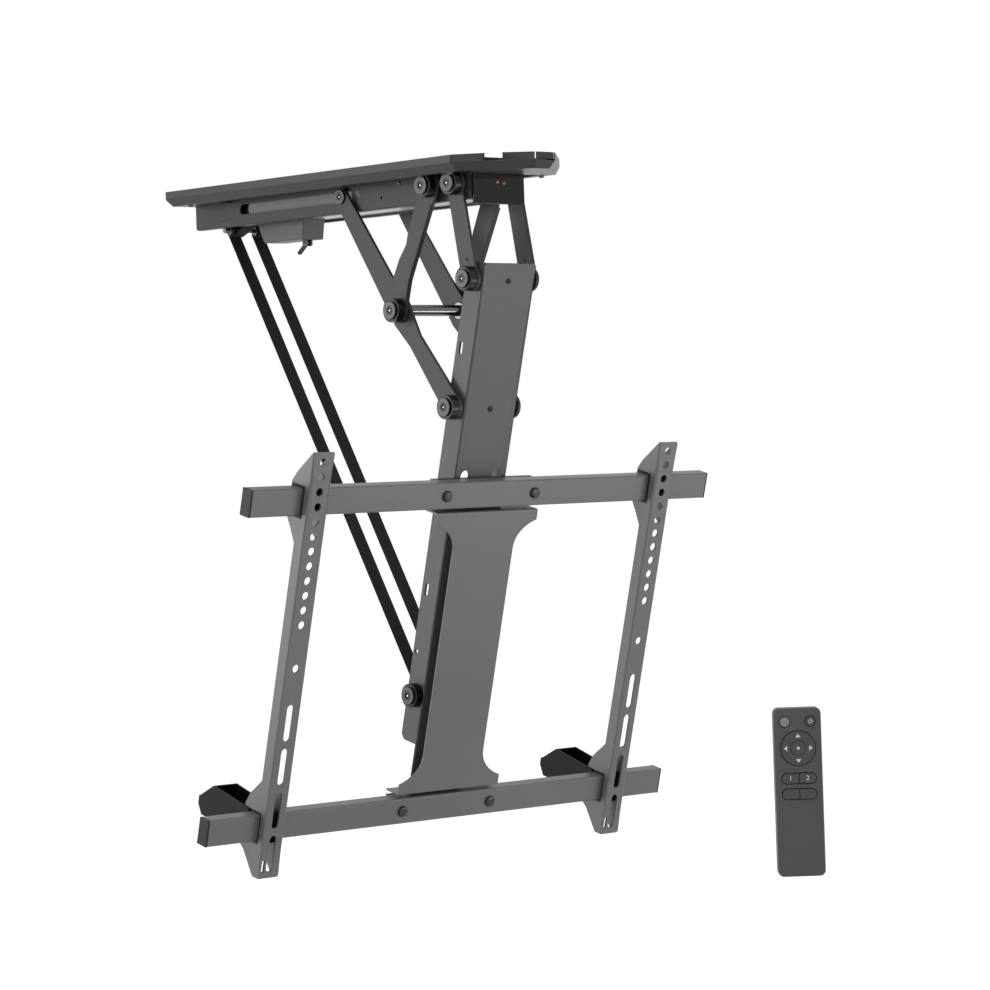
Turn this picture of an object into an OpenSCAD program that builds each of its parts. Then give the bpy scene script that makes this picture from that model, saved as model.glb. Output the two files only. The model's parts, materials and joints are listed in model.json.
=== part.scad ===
/* [Ceiling unit] */
// Width of the cover tray
cover_w = 150; // [148:1:170]
// Straight length of the cover tray, behind its nose
cover_l = 479; // [475:2:520]
// Distance from the tray's front corners to the mounting centre
cover_front = 204.5; // [202:0.5:210]
// Length of the pointed nose
nose_l = 59.5; // [45:0.5:70]
// Width of the blunt tip of the nose
nose_w = 26; // [20:2:50]
// Height of the tray's upright rim
rim_h = 8; // [6:1:9]
// Height of the tray's sloping edge
bevel_h = 8.4; // [7:0.2:10]
// How far the sloping edge draws in
bevel_in = 6; // [4:0.5:8]
// Sheet thickness of the tray
cover_t = 1.6; // [1.2:0.2:2]
// Thickness of the ceiling plate
plate_t = 2.5; // [2:0.5:3]
// Width of the ceiling plate
plate_w = 140; // [138:1:144]
// Reach of the ceiling plate ahead of its middle
plate_front = 195; // [190:1:198]
// Reach of the ceiling plate behind its middle
plate_rear = 250; // [246:1:256]
// Lag screw pattern, across
bolts_x = 100; // [98:1:102]
// Lag screw pattern, along
bolts_y = 320; // [280:5:330]
// Width of each lag screw slot
bolt_slot_w = 8.5; // [7:0.5:9]
// End to end length of each lag screw slot
bolt_slot_l = 20; // [14:1:22]

/* [Rails] */
// Width over both rails
rails_w = 74; // [74:0.5:78]
// Sheet thickness of a rail
rail_t = 2.5; // [2:0.5:2.5]
// Height of a rail
rail_h = 40; // [39:1:42]
// Front end of the rails, ahead of the mounting centre
rail_front = 190; // [188:1:194]
// Rear end of the rails, behind the mounting centre
rail_rear = 269; // [262:1:270]
// Width of a rail's folded lips
rail_lip = 7; // [5:1:7]
// Space between a rail and a link, filled by a washer
rail_washer = 1.5; // [1.2:0.1:2]
// Height of the slider slot
slot_h = 11; // [11:0.5:13]
// Length of the slider slot
slot_l = 204; // [200:2:210]

/* [Linkage] */
// Depth of the upper pivots below the ceiling
pivot_depth = 25; // [24:0.5:26]
// Front pivot, ahead of the mounting centre
front_pivot = 172; // [170:0.5:174]
// Middle link's pivot, behind the front pivot
mid_pivot_gap = 35.4; // [34:0.2:37]
// Slider pin at rest, behind the front pivot
slider_gap = 182.9; // [178:0.1:186]
// Shaft joint at rest, behind the front pivot
shaft_gap = 90.5; // [88:0.5:93]
// Shaft joint at rest, below the upper pivots
shaft_drop = 125.2; // [122:0.2:128]
// Front link's lower pin at rest, ahead of its upper one
front_link_lean = 18.4; // [16:0.2:21]
// Front link's lower pin, below its upper one
front_link_drop = 98.8; // [96:0.2:101]
// Thickness of a link plate
link_t = 3.5; // [3:0.5:3.5]
// Radius of a link's eyes
link_r = 13; // [12.5:0.5:14]
// Diameter of the cross shaft
shaft_d = 12; // [11:0.5:12]
// Diameter of a pivot bolt's shank
bolt_d = 10; // [8:0.5:10]
// Diameter of a black pivot sleeve
sleeve_d = 25; // [22:1:25]
// Length of a black pivot sleeve
sleeve_l = 9.5; // [8:0.5:11]
// Diameter of a pivot bolt's flat head
head_d = 19; // [17:0.2:21]
// Thickness of a pivot bolt's head
head_t = 2.2; // [2:0.2:3]

/* [Swinging arm] */
// Lean of the lowered arm from upright
tilt = 15; // [13:1:17]
// Outer width of the arm channel
arm_w = 71; // [69:0.5:71]
// Outer depth of the arm channel
arm_d = 26; // [25:0.5:27]
// Channel's face, ahead of its pivots
arm_face = 12; // [11:0.5:13]
// Sheet thickness of the arm channel
arm_t = 2.5; // [2:0.5:3]
// Height of the channel's top above its upper pivot
arm_top = 18.4; // [17:0.2:20]
// Distance from the upper pivot to the link pivot
link_pin_drop = 134; // [132:0.5:136]
// Distance from the upper pivot to the belt bolt
belt_pin_drop = 442; // [438:1:446]
// Distance from the upper pivot to the end of the channel's sides
side_end_drop = 493; // [488:1:496]
// Distance from the upper pivot to the upper bar
upper_bar_drop = 219.6; // [215:0.2:224]

/* [Screen frame] */
// Length of a cross bar
bar_l = 630; // [620:5:700]
// Height of a cross bar
bar_h = 28; // [26:1:29]
// Depth of a cross bar
bar_d = 15; // [14:1:16]
// Wall of a cross bar
bar_t = 1.5; // [1.2:0.1:2]
// Distance between the two cross bars
bar_gap = 337; // [333:1:341]
// Space between the bars and the channel
saddle_t = 5; // [4:0.5:6]
// Width of a saddle behind a bar
saddle_w = 138; // [134:1:142]
// Widest half width of the centre plate
plate_half_w = 69.5; // [66:0.5:72]
// Half width of the centre plate's waist
waist_half_w = 41.5; // [38:0.5:46]
// Length of a screen arm
screen_arm_l = 440; // [430:5:450]
// Reach of a screen arm above the upper bar
screen_arm_up = 52.5; // [50:0.5:56]
// Width of a screen arm
screen_arm_w = 26; // [24:1:28]
// Sheet thickness of a screen arm
screen_arm_t = 2.2; // [2:0.2:2.6]
// Space between a bar's face and a screen arm's face plate
screen_arm_gap = 7.8; // [7:0.2:9]
// Distance of a screen arm from the middle
screen_arm_x = 238; // [220:2:250]
// Pitch of the round holes in a screen arm
hole_pitch = 15.1; // [14.5:0.1:15.5]
// Diameter of the round holes in a screen arm
hole_d = 8.5; // [6:0.5:9]
// Reach of a ceiling bumper behind the bars' face
bumper_reach = 97; // [90:1:97]

/* [Belts] */
// Width of a lifting belt
belt_w = 16; // [14:0.5:16]
// Thickness of a lifting belt
belt_t = 1.5; // [1:0.1:1.6]
// Distance between the belts' middles
belt_gap = 33; // [33:0.5:34]
// Guide roller's diameter
roller_d = 10; // [9:0.5:11]
// Guide roller, ahead of the rails' rear end
roller_gap = 46; // [44:0.5:48]
// Guide roller's middle, below the ceiling
roller_depth = 45.4; // [45:0.2:46]

/* [Remote control] */
// Length of the remote control
remote_l = 170; // [164:2:176]
// Width of the remote control
remote_w = 48; // [47:1:50]
// Thickness of the remote control
remote_t = 19; // [18:1:21]
// Radius of its corners
remote_r = 6; // [4:1:8]
// Turn of the remote control towards the viewer
remote_turn = 42; // [30:1:50]

/* [Hidden] */
$fn = 48;

over = 1;
shut = 0.05;
gap = 0.3;
hex_fn = 6;

// Side view places, Y to the rear and Z up
pivot_z = -pivot_depth;
c1 = [-front_pivot, pivot_z];
b1 = [-front_pivot + mid_pivot_gap, pivot_z];
a1 = [-front_pivot + slider_gap, pivot_z];
ab = [-front_pivot + shaft_gap, pivot_z - shaft_drop];
c2 = [-front_pivot - front_link_lean, pivot_z - front_link_drop];
down = [sin(tilt), -cos(tilt)];
a3 = c2 + link_pin_drop * down;
belt_pin = c2 + belt_pin_drop * down;

// Layers of the linkage, outwards from the middle
rail_out = rails_w / 2;
rail_in = rail_out - rail_t;
rail_top = -plate_t;
rail_bottom = rail_top - rail_h;
inner_link_x = rail_out + rail_washer;
inner_link_end = inner_link_x + link_t;
link_space = 1;
outer_link_x = inner_link_end + link_space;
outer_link_end = outer_link_x + link_t;
arm_out = arm_w / 2;
arm_in = arm_out - arm_t;
bolt_r = bolt_d / 2;
bore_r = bolt_r + shut;
sleeve_r = sleeve_d / 2;
head_r = head_d / 2;
nut_r = head_r;
socket_d = head_t * 2 / 3;

module rod_x(place, x0, x1, r) {
    translate([x0, place[0], place[1]]) rotate([0, 90, 0]) cylinder(h = x1 - x0, r = r);
}

module tube_x(place, x0, x1, r) {
    difference() {
        rod_x(place, x0, x1, r);
        rod_x(place, x0 - over, x1 + over, bore_r);
    }
}

module on_side(x0, t) {
    translate([x0, 0, 0]) rotate([90, 0, 90]) linear_extrude(t) children();
}

module both() {
    children();
    mirror([1, 0, 0]) children();
}

module arm_frame() {
    translate([0, c2[0], c2[1]]) rotate([tilt, 0, 0]) children();
}

module block(low, high) {
    translate(low) cube(high - low);
}

module slot_2d(l, w) {
    for (side = [-1, 1]) translate([side * (l - w) / 2, 0]) circle(w / 2);
    square([l - w, w], center = true);
}

module head(place, x0, r = head_r) {
    difference() {
        rod_x(place, x0, x0 + head_t, r);
        translate([x0 + head_t - socket_d, place[0], place[1]]) rotate([0, 90, 0])
            cylinder(h = socket_d + over, r = r / 2, $fn = hex_fn);
    }
}

module bolt(place, x0, x1, sleeve = 0) {
    rod_x(place, x0, x1 + sleeve, bolt_r);
    head(place, x1 + sleeve);
}

module on_left() {
    mirror([1, 0, 0]) children();
}

// The left bolts carry a sleeve under their head: the right ones lie flat on the links
module bolt_pair(place, x0, x1) {
    bolt(place, x0, x1);
    on_left() bolt(place, x0, x1, sleeve_l);
}

module nut(place, inner_face) {
    rod_x(place, inner_face - bolt_r, inner_face, nut_r);
}

module pan_screw(r) {
    cylinder(h = r * 2 / 3, r1 = r, r2 = r * 2 / 3);
}

// Cover tray
cover_z = -(rim_h + bevel_h);
tray_rear = cover_l - cover_front;
tray_side = cover_w / 2;
nose_side = norm([tray_side - nose_w / 2, nose_l]);
nose_angle = atan2(-nose_l, tray_side - nose_w / 2);
cord_notch_l = 18;
cord_notch_h = 7;
corner_slit = 2;
panel_t = 3;
link_room = outer_link_end + sleeve_l + head_t + link_space;
link_room_rear = a1[0] + slot_l - link_r;
post_r = 3;
post_x = (link_room + tray_side - bevel_in - cover_t) / 2;
post_ys = [-plate_front + post_r * 2, plate_rear - post_r * 2];
screw_r = 1.6;
function tray_outline(in) = [
    [-tray_side + in, -cover_front], [-nose_w / 2 + in / 2, -cover_front - nose_l + in],
    [nose_w / 2 - in / 2, -cover_front - nose_l + in], [tray_side - in, -cover_front],
    [tray_side - in, tray_rear - in], [-tray_side + in, tray_rear - in]];

module tray_solid(in, lift) {
    translate([0, 0, -rim_h]) linear_extrude(rim_h + (in > 0 ? over : 0)) polygon(tray_outline(in));
    hull() {
        translate([0, 0, -rim_h]) linear_extrude(shut) polygon(tray_outline(in));
        translate([0, 0, cover_z + lift]) linear_extrude(shut) polygon(tray_outline(in + bevel_in));
    }
}

module cover_tray() {
    color("#2b2c2e") difference() {
        tray_solid(0, 0);
        tray_solid(cover_t, cover_t);
        block([-rail_out - gap, -rail_front - panel_t - gap, cover_z - over],
            [rail_out + gap, rail_rear + tie_t, over]);
        block([-link_room, -rail_front - panel_t - gap, cover_z - over],
            [link_room, link_room_rear, over]);
        translate([-tray_side, -cover_front, 0]) rotate([0, 0, nose_angle])
            block([(nose_side - cord_notch_l) / 2, -cord_notch_l, -cord_notch_h],
                [(nose_side + cord_notch_l) / 2, cord_notch_l, over]);
        for (side = [-1, 1]) translate([side * nose_w / 2, -cover_front - nose_l, 0])
            block([-corner_slit / 2, -bevel_in, -rim_h + over],
                [corner_slit / 2, bevel_in, over]);
        for (side = [-1, 1], y = post_ys) translate([side * post_x, y, cover_z - over])
            cylinder(h = cover_t + over * 2, r = screw_r + gap);
    }
}

module ceiling_plate() {
    color("#333436") {
        difference() {
            block([-plate_w / 2, -plate_front, -plate_t], [plate_w / 2, plate_rear, 0]);
            for (sx = [-1, 1], sy = [-1, 1])
                translate([sx * bolts_x / 2, sy * bolts_y / 2, -plate_t - over])
                    linear_extrude(plate_t + over * 2) slot_2d(bolt_slot_l, bolt_slot_w);
        }
        for (side = [-1, 1], y = post_ys) translate([side * post_x, y, cover_z + cover_t + shut])
            difference() {
                cylinder(h = -plate_t - cover_z - cover_t - shut, r = post_r);
                translate([0, 0, -over]) cylinder(h = post_r * 2 + over, r = screw_r + shut);
            }
    }
}

module unit_screws() {
    color("silver") for (side = [-1, 1]) {
        for (y = post_ys) translate([side * post_x, y, cover_z]) {
            cylinder(h = post_r * 2, r = screw_r);
            mirror([0, 0, 1]) pan_screw(screw_r * 2);
        }
        translate([side * rail_out, b1[0] + rail_screw_gap, pivot_z + slot_h * 2 / 3])
            rotate([0, side * 90, 0]) pan_screw(screw_r * 3 / 2);
    }
}

// Rails and the box between them
rail_screw_gap = 57.5;
slot_y = a1[0] - slot_h * 2 - gap * 10;
tie_t = 2;
pan_t = 1.5;
pan_z = rail_bottom + rail_t;
guide_t = 3;
guide_h = 18;
guide_stop = 21;
guide_l = slot_l + guide_h / 2 - guide_stop;
rail_hole_gap = 87;
rail_hole_y = b1[0] + rail_hole_gap;
rail_hole_z = pivot_z - slot_h / 2;

module rail_profile() {
    square([rail_t, rail_h]);
    translate([-rail_lip, 0]) square([rail_lip + shut, rail_t]);
    translate([-rail_lip, rail_h - rail_t]) square([rail_lip + shut, rail_t]);
}

module side_rail() {
    difference() {
        translate([rail_in, rail_rear, rail_bottom]) rotate([90, 0, 0])
            linear_extrude(rail_rear + rail_front) rail_profile();
        on_side(rail_in - over, rail_t + over * 2)
            translate([slot_y + slot_l / 2, pivot_z]) slot_2d(slot_l, slot_h);
        for (p = [c1, b1]) rod_x(p, rail_in - over, rail_out + over, bore_r);
        rod_x([rail_hole_y, rail_hole_z], rail_in - over, rail_out + over, screw_r);
    }
}

module side_rail_right() {
    color("#303133") side_rail();
}

module side_rail_left() {
    color("#303133") mirror([1, 0, 0]) side_rail();
}

module slot_guides() {
    color("silver") both() on_side(rail_in - guide_t, guide_t)
        translate([slot_y + (guide_l - guide_h / 2) / 2, pivot_z]) slot_2d(guide_l + guide_h / 2, guide_h);
}

panel_w = 70;
panel_drop = 5;
led_x = -2;
led_r = 1;
eye_x = 6.5;
eye_r = 2.5;
panel_y = -rail_front - panel_t;

module panel_pin(x, y0, y1, r) {
    translate([x, y0, pivot_z]) rotate([-90, 0, 0]) cylinder(h = y1 - y0, r = r);
}

module sensor_panel() {
    color("#0b0b0c") difference() {
        block([-panel_w / 2, panel_y, rail_bottom - panel_drop],
            [panel_w / 2, -rail_front, cover_z - gap]);
        panel_pin(led_x, panel_y - over, -rail_front + over, led_r + shut);
        panel_pin(eye_x, panel_y - over, -rail_front + over, eye_r + shut);
    }
}

module sensor_lights() {
    color("red") panel_pin(led_x, panel_y, -rail_front, led_r);
    color("black") panel_pin(eye_x, panel_y, -rail_front, eye_r);
}

// Motor, gear and belts
roller_y = rail_rear - roller_gap;
roller = [roller_y, -roller_depth];
pin_r = 2;
collar_r = 2.7;
axle_r = 5;
spool_r = 10;
roll_r = 16.5;
drum = [roller_y - roll_r - roller_d / 2 - gap * 10, pivot_z + gap * 8];
pan_rear = drum[0] - roll_r - gap * 4;
motor_r = drum[1] - pan_z - pan_t - gap;
motor_y = 0;
motor_l = 120;
gear_w = belt_gap - belt_w - over * 2;
gear_h = 30;
board_t = 1.6;
bracket_t = 2;
bracket_x = rail_in - rail_lip - gap - bracket_t;
belt_in = (belt_gap - belt_w) / 2;
belt_out = (belt_gap + belt_w) / 2;

module belly_pan() {
    color("#303133") block([-rail_in, -rail_front + tie_t, pan_z], [rail_in, pan_rear, pan_z + pan_t]);
}

module lift_motor() {
    color("#3a3b3d") translate([0, motor_y, drum[1]]) rotate([-90, 0, 0])
        cylinder(h = motor_l, r = motor_r);
}

module gear_head() {
    color("#77787a") difference() {
        union() {
            block([-gear_w / 2, motor_y + motor_l + tie_t, drum[1] - gear_h / 2],
                [gear_w / 2, drum[0] + axle_r * 2, drum[1] + gear_h / 2]);
            translate([0, motor_y + motor_l, drum[1]]) rotate([-90, 0, 0])
                cylinder(h = tie_t, r = motor_r);
        }
        rod_x(drum, -gear_w, gear_w, axle_r + shut);
    }
}

module bracket_2d() {
    difference() {
        union() {
            translate([drum[0] - spool_r, pan_z]) square([spool_r * 2, rail_top - pan_z]);
            translate([drum[0], drum[1] - spool_r]) square([roller_y - drum[0], spool_r]);
            translate([roller_y - axle_r, roller[1]]) square([axle_r * 2, drum[1] - roller[1]]);
            translate(roller) circle(axle_r);
        }
        translate(drum) circle(axle_r + shut);
        translate(roller) circle(pin_r - shut);
    }
}

module drum_brackets() {
    color("#55565a") {
        both() on_side(bracket_x, bracket_t) bracket_2d();
        rod_x(roller, -bracket_x - shut, bracket_x + shut, pin_r);
        both() rod_x(roller, bracket_x + bracket_t - shut, rail_in - over, collar_r);
    }
}

module belt_drum() {
    color("#8a8b8e") {
        rod_x(drum, -bracket_x - bracket_t, bracket_x + bracket_t, axle_r);
        both() rod_x(drum, belt_in, belt_out, roll_r);
    }
}

module guide_rollers() {
    color("#b8babd") both() difference() {
        rod_x(roller, belt_in, belt_out, roller_d / 2);
        rod_x(roller, 0, belt_gap, pin_r + shut);
    }
}

// Each belt leaves the drum, bends round the guide roller and runs straight to the arm
anchor_r = 7;
roller_turn = roller_d / 2 + gap;
run = roller - belt_pin;
run_side = [run[1], -run[0]] / norm(run);
feed = (roller - drum) / norm(roller - drum);
feed_share = (roll_r + gap - roller_turn) / norm(roller - drum);
feed_side = feed_share * feed + sqrt(1 - feed_share * feed_share) * [-feed[1], feed[0]];

module belt_strip(p, q) {
    polygon([p[0] + p[1] * p[2], p[0] + (p[1] + belt_t) * p[2],
        q[0] + (q[1] + belt_t) * q[2], q[0] + q[1] * q[2]]);
}

module lift_belts() {
    color("#1c1c1d") both() on_side(belt_in, belt_w) {
        belt_strip([roller, roller_turn, run_side], [belt_pin, anchor_r + gap, run_side]);
        belt_strip([roller, roller_turn, feed_side], [drum, roll_r + gap, feed_side]);
        difference() {
            intersection() {
                translate(roller) circle(roller_turn + belt_t);
                polygon([roller, roller + roller_d * 2 * feed_side, roller + roller_d * 2 * run_side]);
            }
            translate(roller) circle(roller_turn);
        }
        difference() {
            translate(belt_pin) circle(anchor_r + gap + belt_t);
            translate(belt_pin) circle(anchor_r + gap);
        }
    }
}

// Control box under the rails
box_half_w = 15;
box_gap = 35;
box_l = 81;
box_rear = roller_y - box_gap;
box_front = box_rear - box_l;
box_taper = 11;
box_h = 22.2;
box_z = pan_z - box_h;
box_wall = 1.5;
lever_t = 4;
lever_setback = 13;
lever_drop = 3;
lever_tip = [14, -11];
lever_pin = [box_front + lever_setback, box_z - lever_drop];

function box_side(in) = [
    [box_front + in, pan_z], [box_rear - in, pan_z],
    [box_rear - box_taper - in, box_z + in], [box_front + box_taper / 3 + in, box_z + in]];

module control_box() {
    color("#2a2b2d") {
        difference() {
            on_side(-box_half_w, box_half_w * 2) polygon(box_side(0));
            on_side(-box_half_w + box_wall, (box_half_w - box_wall) * 2) polygon(box_side(box_wall));
        }
        both() on_side(lever_t / 2 + gap, lever_t / 2) difference() {
            translate(lever_pin) union() {
                circle(lever_t);
                translate([-lever_t, 0]) square([lever_t * 2, box_z - lever_pin[1]]);
            }
            translate(lever_pin) circle(pin_r / 2 + shut);
        }
    }
}

module limit_lever() {
    color("#1a1a1b") {
        on_side(-lever_t / 2, lever_t) translate(lever_pin) {
            circle(lever_t / 2);
            polygon([[0, lever_t / 2], lever_tip + [lever_t / 2, lever_t / 3],
                lever_tip + [0, -lever_t / 3], [0, -lever_t / 2]]);
        }
        rod_x(lever_pin, -lever_t, lever_t, pin_r / 2);
    }
}

module circuit_boards() {
    color("#1f5a35") {
        block([-box_half_w + box_wall * 2, box_front + box_taper, box_z + box_wall],
            [box_half_w - box_wall * 2, box_rear - box_taper * 2, box_z + box_wall + board_t]);
        block([-eye_x * 3, -rail_front + tie_t, pivot_z - eye_x],
            [eye_x * 3, -rail_front + tie_t + board_t, pivot_z + eye_x]);
        remote_place() block([-remote_w / 2 + remote_wall + gap, 0, pill_zs[1] - pill[0] / 2],
            [remote_w / 2 - remote_wall - gap, board_t, remote_l / 2 - remote_r - gap]);
    }
}

inlet_w = 27;
inlet_h = 20;
inlet_d = 16;

module cross_plates() {
    color("#303133") difference() {
        for (y = [-rail_front, rail_rear - tie_t])
            block([-rail_in, y, pan_z], [rail_in, y + tie_t, rail_top - rail_t]);
        block([-inlet_w / 2, rail_rear - inlet_d, drum[1] - inlet_h / 2],
            [inlet_w / 2, rail_rear + over, drum[1] + inlet_h / 2]);
    }
}

module power_inlet() {
    color("#141415") difference() {
        block([-inlet_w / 2, rail_rear - inlet_d, drum[1] - inlet_h / 2],
            [inlet_w / 2, rail_rear + tie_t / 2, drum[1] + inlet_h / 2]);
        block([-inlet_w / 2 + tie_t, rail_rear - inlet_d + tie_t, drum[1] - inlet_h / 2 + tie_t],
            [inlet_w / 2 - tie_t, rail_rear + inlet_d, drum[1] + inlet_h / 2 - tie_t]);
    }
}

// Fixed pivots
module rail_pivot_bolts() {
    color("#9a9ca0") {
        bolt_pair(c1, rail_in - bolt_r, inner_link_end + gap);
        bolt_pair(b1, rail_in - bolt_r, outer_link_end + gap);
        both() for (p = [c1, b1]) nut(p, rail_in);
    }
}

module rail_pivot_sleeves() {
    color("#19191a") {
        on_left() tube_x(c1, inner_link_end + gap, inner_link_end + gap + sleeve_l, sleeve_r);
        on_left() tube_x(b1, outer_link_end + gap, outer_link_end + gap + sleeve_l, sleeve_r);
        both() tube_x(c1, rail_out, inner_link_x - gap, head_r);
        both() tube_x(b1, rail_out, outer_link_x - gap, head_r);
    }
}

slider_l = 22;
slider_head_r = 8;
module slider_blocks() {
    color("#c9cacc") both() on_side(rail_in + gap, inner_link_x - rail_in - gap * 2)
        translate(a1) square([slider_l, slot_h - gap * 2], center = true);
}

// A point beside the line from p to q: a share along it, and a distance towards the rear
function beside(p, q, share, off) = p + share * (q - p)
    + off * [p[1] - q[1], q[0] - p[0]] / norm(q - p);
function reversed(list) = [for (i = [len(list) - 1:-1:0]) list[i]];

// Edge points of a link: each has a share of the way from p to q, and a share of the eye's radius
function along(p, q, shares, off = 0) = [for (s = shares) beside(p, q, s[0], s[1] * link_r + off)];
link_eye_r = link_r + shut;

// Crossing link, from the slider through the shaft to the arm
slider_eye_share = 0.75;
upper_rear_shares = [[0, slider_eye_share], [0.9, 1.3]];
lower_rear_shares = [[0.04, 1.4], [0.3, 1], [1, 1]];
lower_front_shares = [[1, -1], [0.3, -0.5], [0, -1]];
upper_front_shares = [[0.75, -0.8], [0, -slider_eye_share]];
function link_a_outline() = concat(along(a1, ab, upper_rear_shares), along(ab, a3, lower_rear_shares),
    along(ab, a3, lower_front_shares), along(a1, ab, upper_front_shares));

module link_a() {
    difference() {
        on_side(inner_link_x, link_t) {
            polygon(link_a_outline());
            translate(a1) circle(link_r * slider_eye_share + shut);
            for (p = [ab, a3]) translate(p) circle(link_eye_r);
        }
        for (p = [a1, ab, a3]) rod_x(p, inner_link_x - over, inner_link_end + over, bore_r);
    }
}

module link_a_right() {
    color("#37383b") link_a();
}

module link_a_left() {
    color("#37383b") mirror([1, 0, 0]) link_a();
}

module link_a_bolts() {
    color("#9a9ca0") {
        bolt_pair(a3, arm_out + gap, inner_link_end + gap);
        both() rod_x(a1, inner_link_x + gap, inner_link_end + head_t / 4, bolt_r);
        both() head(a1, inner_link_end, slider_head_r);
    }
}

module link_a_sleeves() {
    color("#19191a") on_left()
        tube_x(a3, inner_link_end + gap, inner_link_end + gap + sleeve_l, sleeve_r);
}

module cross_shaft() {
    color("#2c2d2f") {
        rod_x(ab, -inner_link_x, inner_link_x, shaft_d / 2);
        both() difference() {
            rod_x(ab, rail_out + gap, inner_link_x, shaft_d * 3 / 4);
            rod_x(ab, rail_out, inner_link_x + over, shaft_d / 2 + shut);
        }
    }
}

// Middle link, with a stiffening flange folded outwards along its front edge
flange_w = 2.2;
flange_t = 2.5;
flange_shares = [[0.13, -0.95], [0.74, -0.55], [0.88, -0.75]];
middle_rear_shares = [[0, 1], [0.4, 1.1], [0.5, 0.95], [0.64, 1.35], [0.8, 1.5], [1, 1], [1, -1]];
function link_b_front(off) = along(b1, ab, flange_shares, off);
function link_b_outline() = concat(along(b1, ab, middle_rear_shares), reversed(link_b_front(0)),
    [beside(b1, ab, 0, -link_r)]);

module link_b() {
    difference() {
        union() {
            on_side(outer_link_x, link_t) {
                polygon(link_b_outline());
                for (p = [b1, ab]) translate(p) circle(link_eye_r);
            }
            on_side(outer_link_x, link_t + flange_w)
                polygon(concat(link_b_front(0), reversed(link_b_front(flange_t))));
        }
        for (p = [b1, ab]) rod_x(p, outer_link_x - over, outer_link_end + over, bore_r);
    }
}

module link_b_right() {
    color("#37383b") link_b();
}

module link_b_left() {
    color("#37383b") mirror([1, 0, 0]) link_b();
}

module link_b_bolts() {
    color("#9a9ca0") bolt_pair(ab, inner_link_x + gap, outer_link_end + gap);
}

module link_b_sleeves() {
    color("#19191a") on_left()
        tube_x(ab, outer_link_end + gap, outer_link_end + gap + sleeve_l, sleeve_r);
}

// Front link, a plain strip
front_link_shares = [[0, 1], [1, 1], [1, -0.8], [0, -0.7]];
small_hole_share = 0.8;
module front_links() {
    color("#37383b") both() difference() {
        on_side(inner_link_x, link_t) {
            polygon(along(c1, c2, front_link_shares));
            for (p = [c1, c2]) translate(p) circle(link_eye_r);
        }
        for (p = [c1, c2]) rod_x(p, inner_link_x - over, inner_link_end + over, bore_r);
        rod_x(beside(c1, c2, small_hole_share, 0), inner_link_x - over, inner_link_end + over, screw_r);
    }
}

// Arm, in its own frame: its upper pivot is the origin, Z runs up along it, Y to its back
bar_back = -arm_face - saddle_t;
bar_face = bar_back - bar_d;
bar_zs = [-upper_bar_drop, -upper_bar_drop - bar_gap];
web_end = bar_zs[1] - bar_h / 2;
tie_zs = [0, -link_pin_drop];
notch_r = 6;
notch_x = 21.5;
notch_z = bar_zs[0] + bar_h / 2 + over;
arm_slot = [5, 14];
arm_slot_zs = [-arm_top * 4, bar_zs[0] - arm_top * 6];

module arm_side_2d() {
    difference() {
        polygon([[-arm_face, arm_top], [0, arm_top], [arm_d - arm_face, arm_top / 4],
            [arm_d - arm_face, -side_end_drop + arm_slot[0]],
            [arm_d - arm_face - arm_slot[0], -side_end_drop], [-arm_face, -side_end_drop]]);
        for (z = arm_slot_zs) translate([arm_d / 4, z]) rotate(90) slot_2d(arm_slot[1], arm_slot[0]);
        translate([arm_d / 3, arm_slot_zs[1] - link_pin_drop / 2]) circle(arm_t);
    }
}

module arm_channel() {
    color("#34353a") arm_frame() difference() {
        union() {
            block([-arm_out, -arm_face, web_end], [arm_out, -arm_face + arm_t, arm_top]);
            both() on_side(arm_in, arm_t) arm_side_2d();
        }
        for (z = [0, -belt_pin_drop]) rod_x([0, z], -arm_out - over, arm_out + over, bore_r);
        for (side = [-1, 1]) translate([side * notch_x, -arm_face - over, notch_z])
            rotate([-90, 0, 0]) cylinder(h = arm_t + over * 2, r = notch_r);
    }
}

module arm_bolts() {
    color("#9a9ca0") arm_frame() {
        bolt_pair([0, 0], arm_in - bolt_r, inner_link_end + gap);
        both() nut([0, 0], arm_in);
    }
}

module arm_sleeves() {
    color("#19191a") arm_frame() {
        on_left() tube_x([0, 0], inner_link_end + gap, inner_link_end + gap + sleeve_l, sleeve_r);
        on_left() tube_x([0, -belt_pin_drop], arm_out, arm_out + gap + sleeve_l, sleeve_r);
        both() tube_x([0, 0], arm_out, inner_link_x - gap, head_r);
    }
}

module belt_anchor() {
    color("#8a8b8e") arm_frame() {
        bolt_pair([0, -belt_pin_drop], 0, arm_out + gap);
        both() rod_x([0, -belt_pin_drop], belt_in, belt_out, anchor_r);
    }
}

module bar_saddles() {
    color("#2b2c2e") arm_frame() for (z = bar_zs)
        block([-saddle_w / 2, bar_back, z - bar_h / 2], [saddle_w / 2, -arm_face, z + bar_h / 2]);
}

cap_l = 2;
module bar(z) {
    arm_frame() difference() {
        block([-bar_l / 2 + cap_l, bar_face, z - bar_h / 2], [bar_l / 2 - cap_l, bar_back, z + bar_h / 2]);
        block([-bar_l / 2 - over, bar_face + bar_t, z - bar_h / 2 + bar_t],
            [bar_l / 2 + over, bar_back - bar_t, z + bar_h / 2 - bar_t]);
    }
}

module upper_bar() {
    color("#2e2f31") bar(bar_zs[0]);
}

module lower_bar() {
    color("#2e2f31") bar(bar_zs[1]);
}

module bar_end_caps() {
    color("#141415") arm_frame() both() for (z = bar_zs) {
        block([bar_l / 2 - cap_l, bar_face, z - bar_h / 2], [bar_l / 2, bar_back, z + bar_h / 2]);
        block([bar_l / 2 - cap_l * 5, bar_face + bar_t + gap, z - bar_h / 2 + bar_t + gap],
            [bar_l / 2 - cap_l, bar_back - bar_t - gap, z + bar_h / 2 - bar_t - gap]);
    }
}

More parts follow.
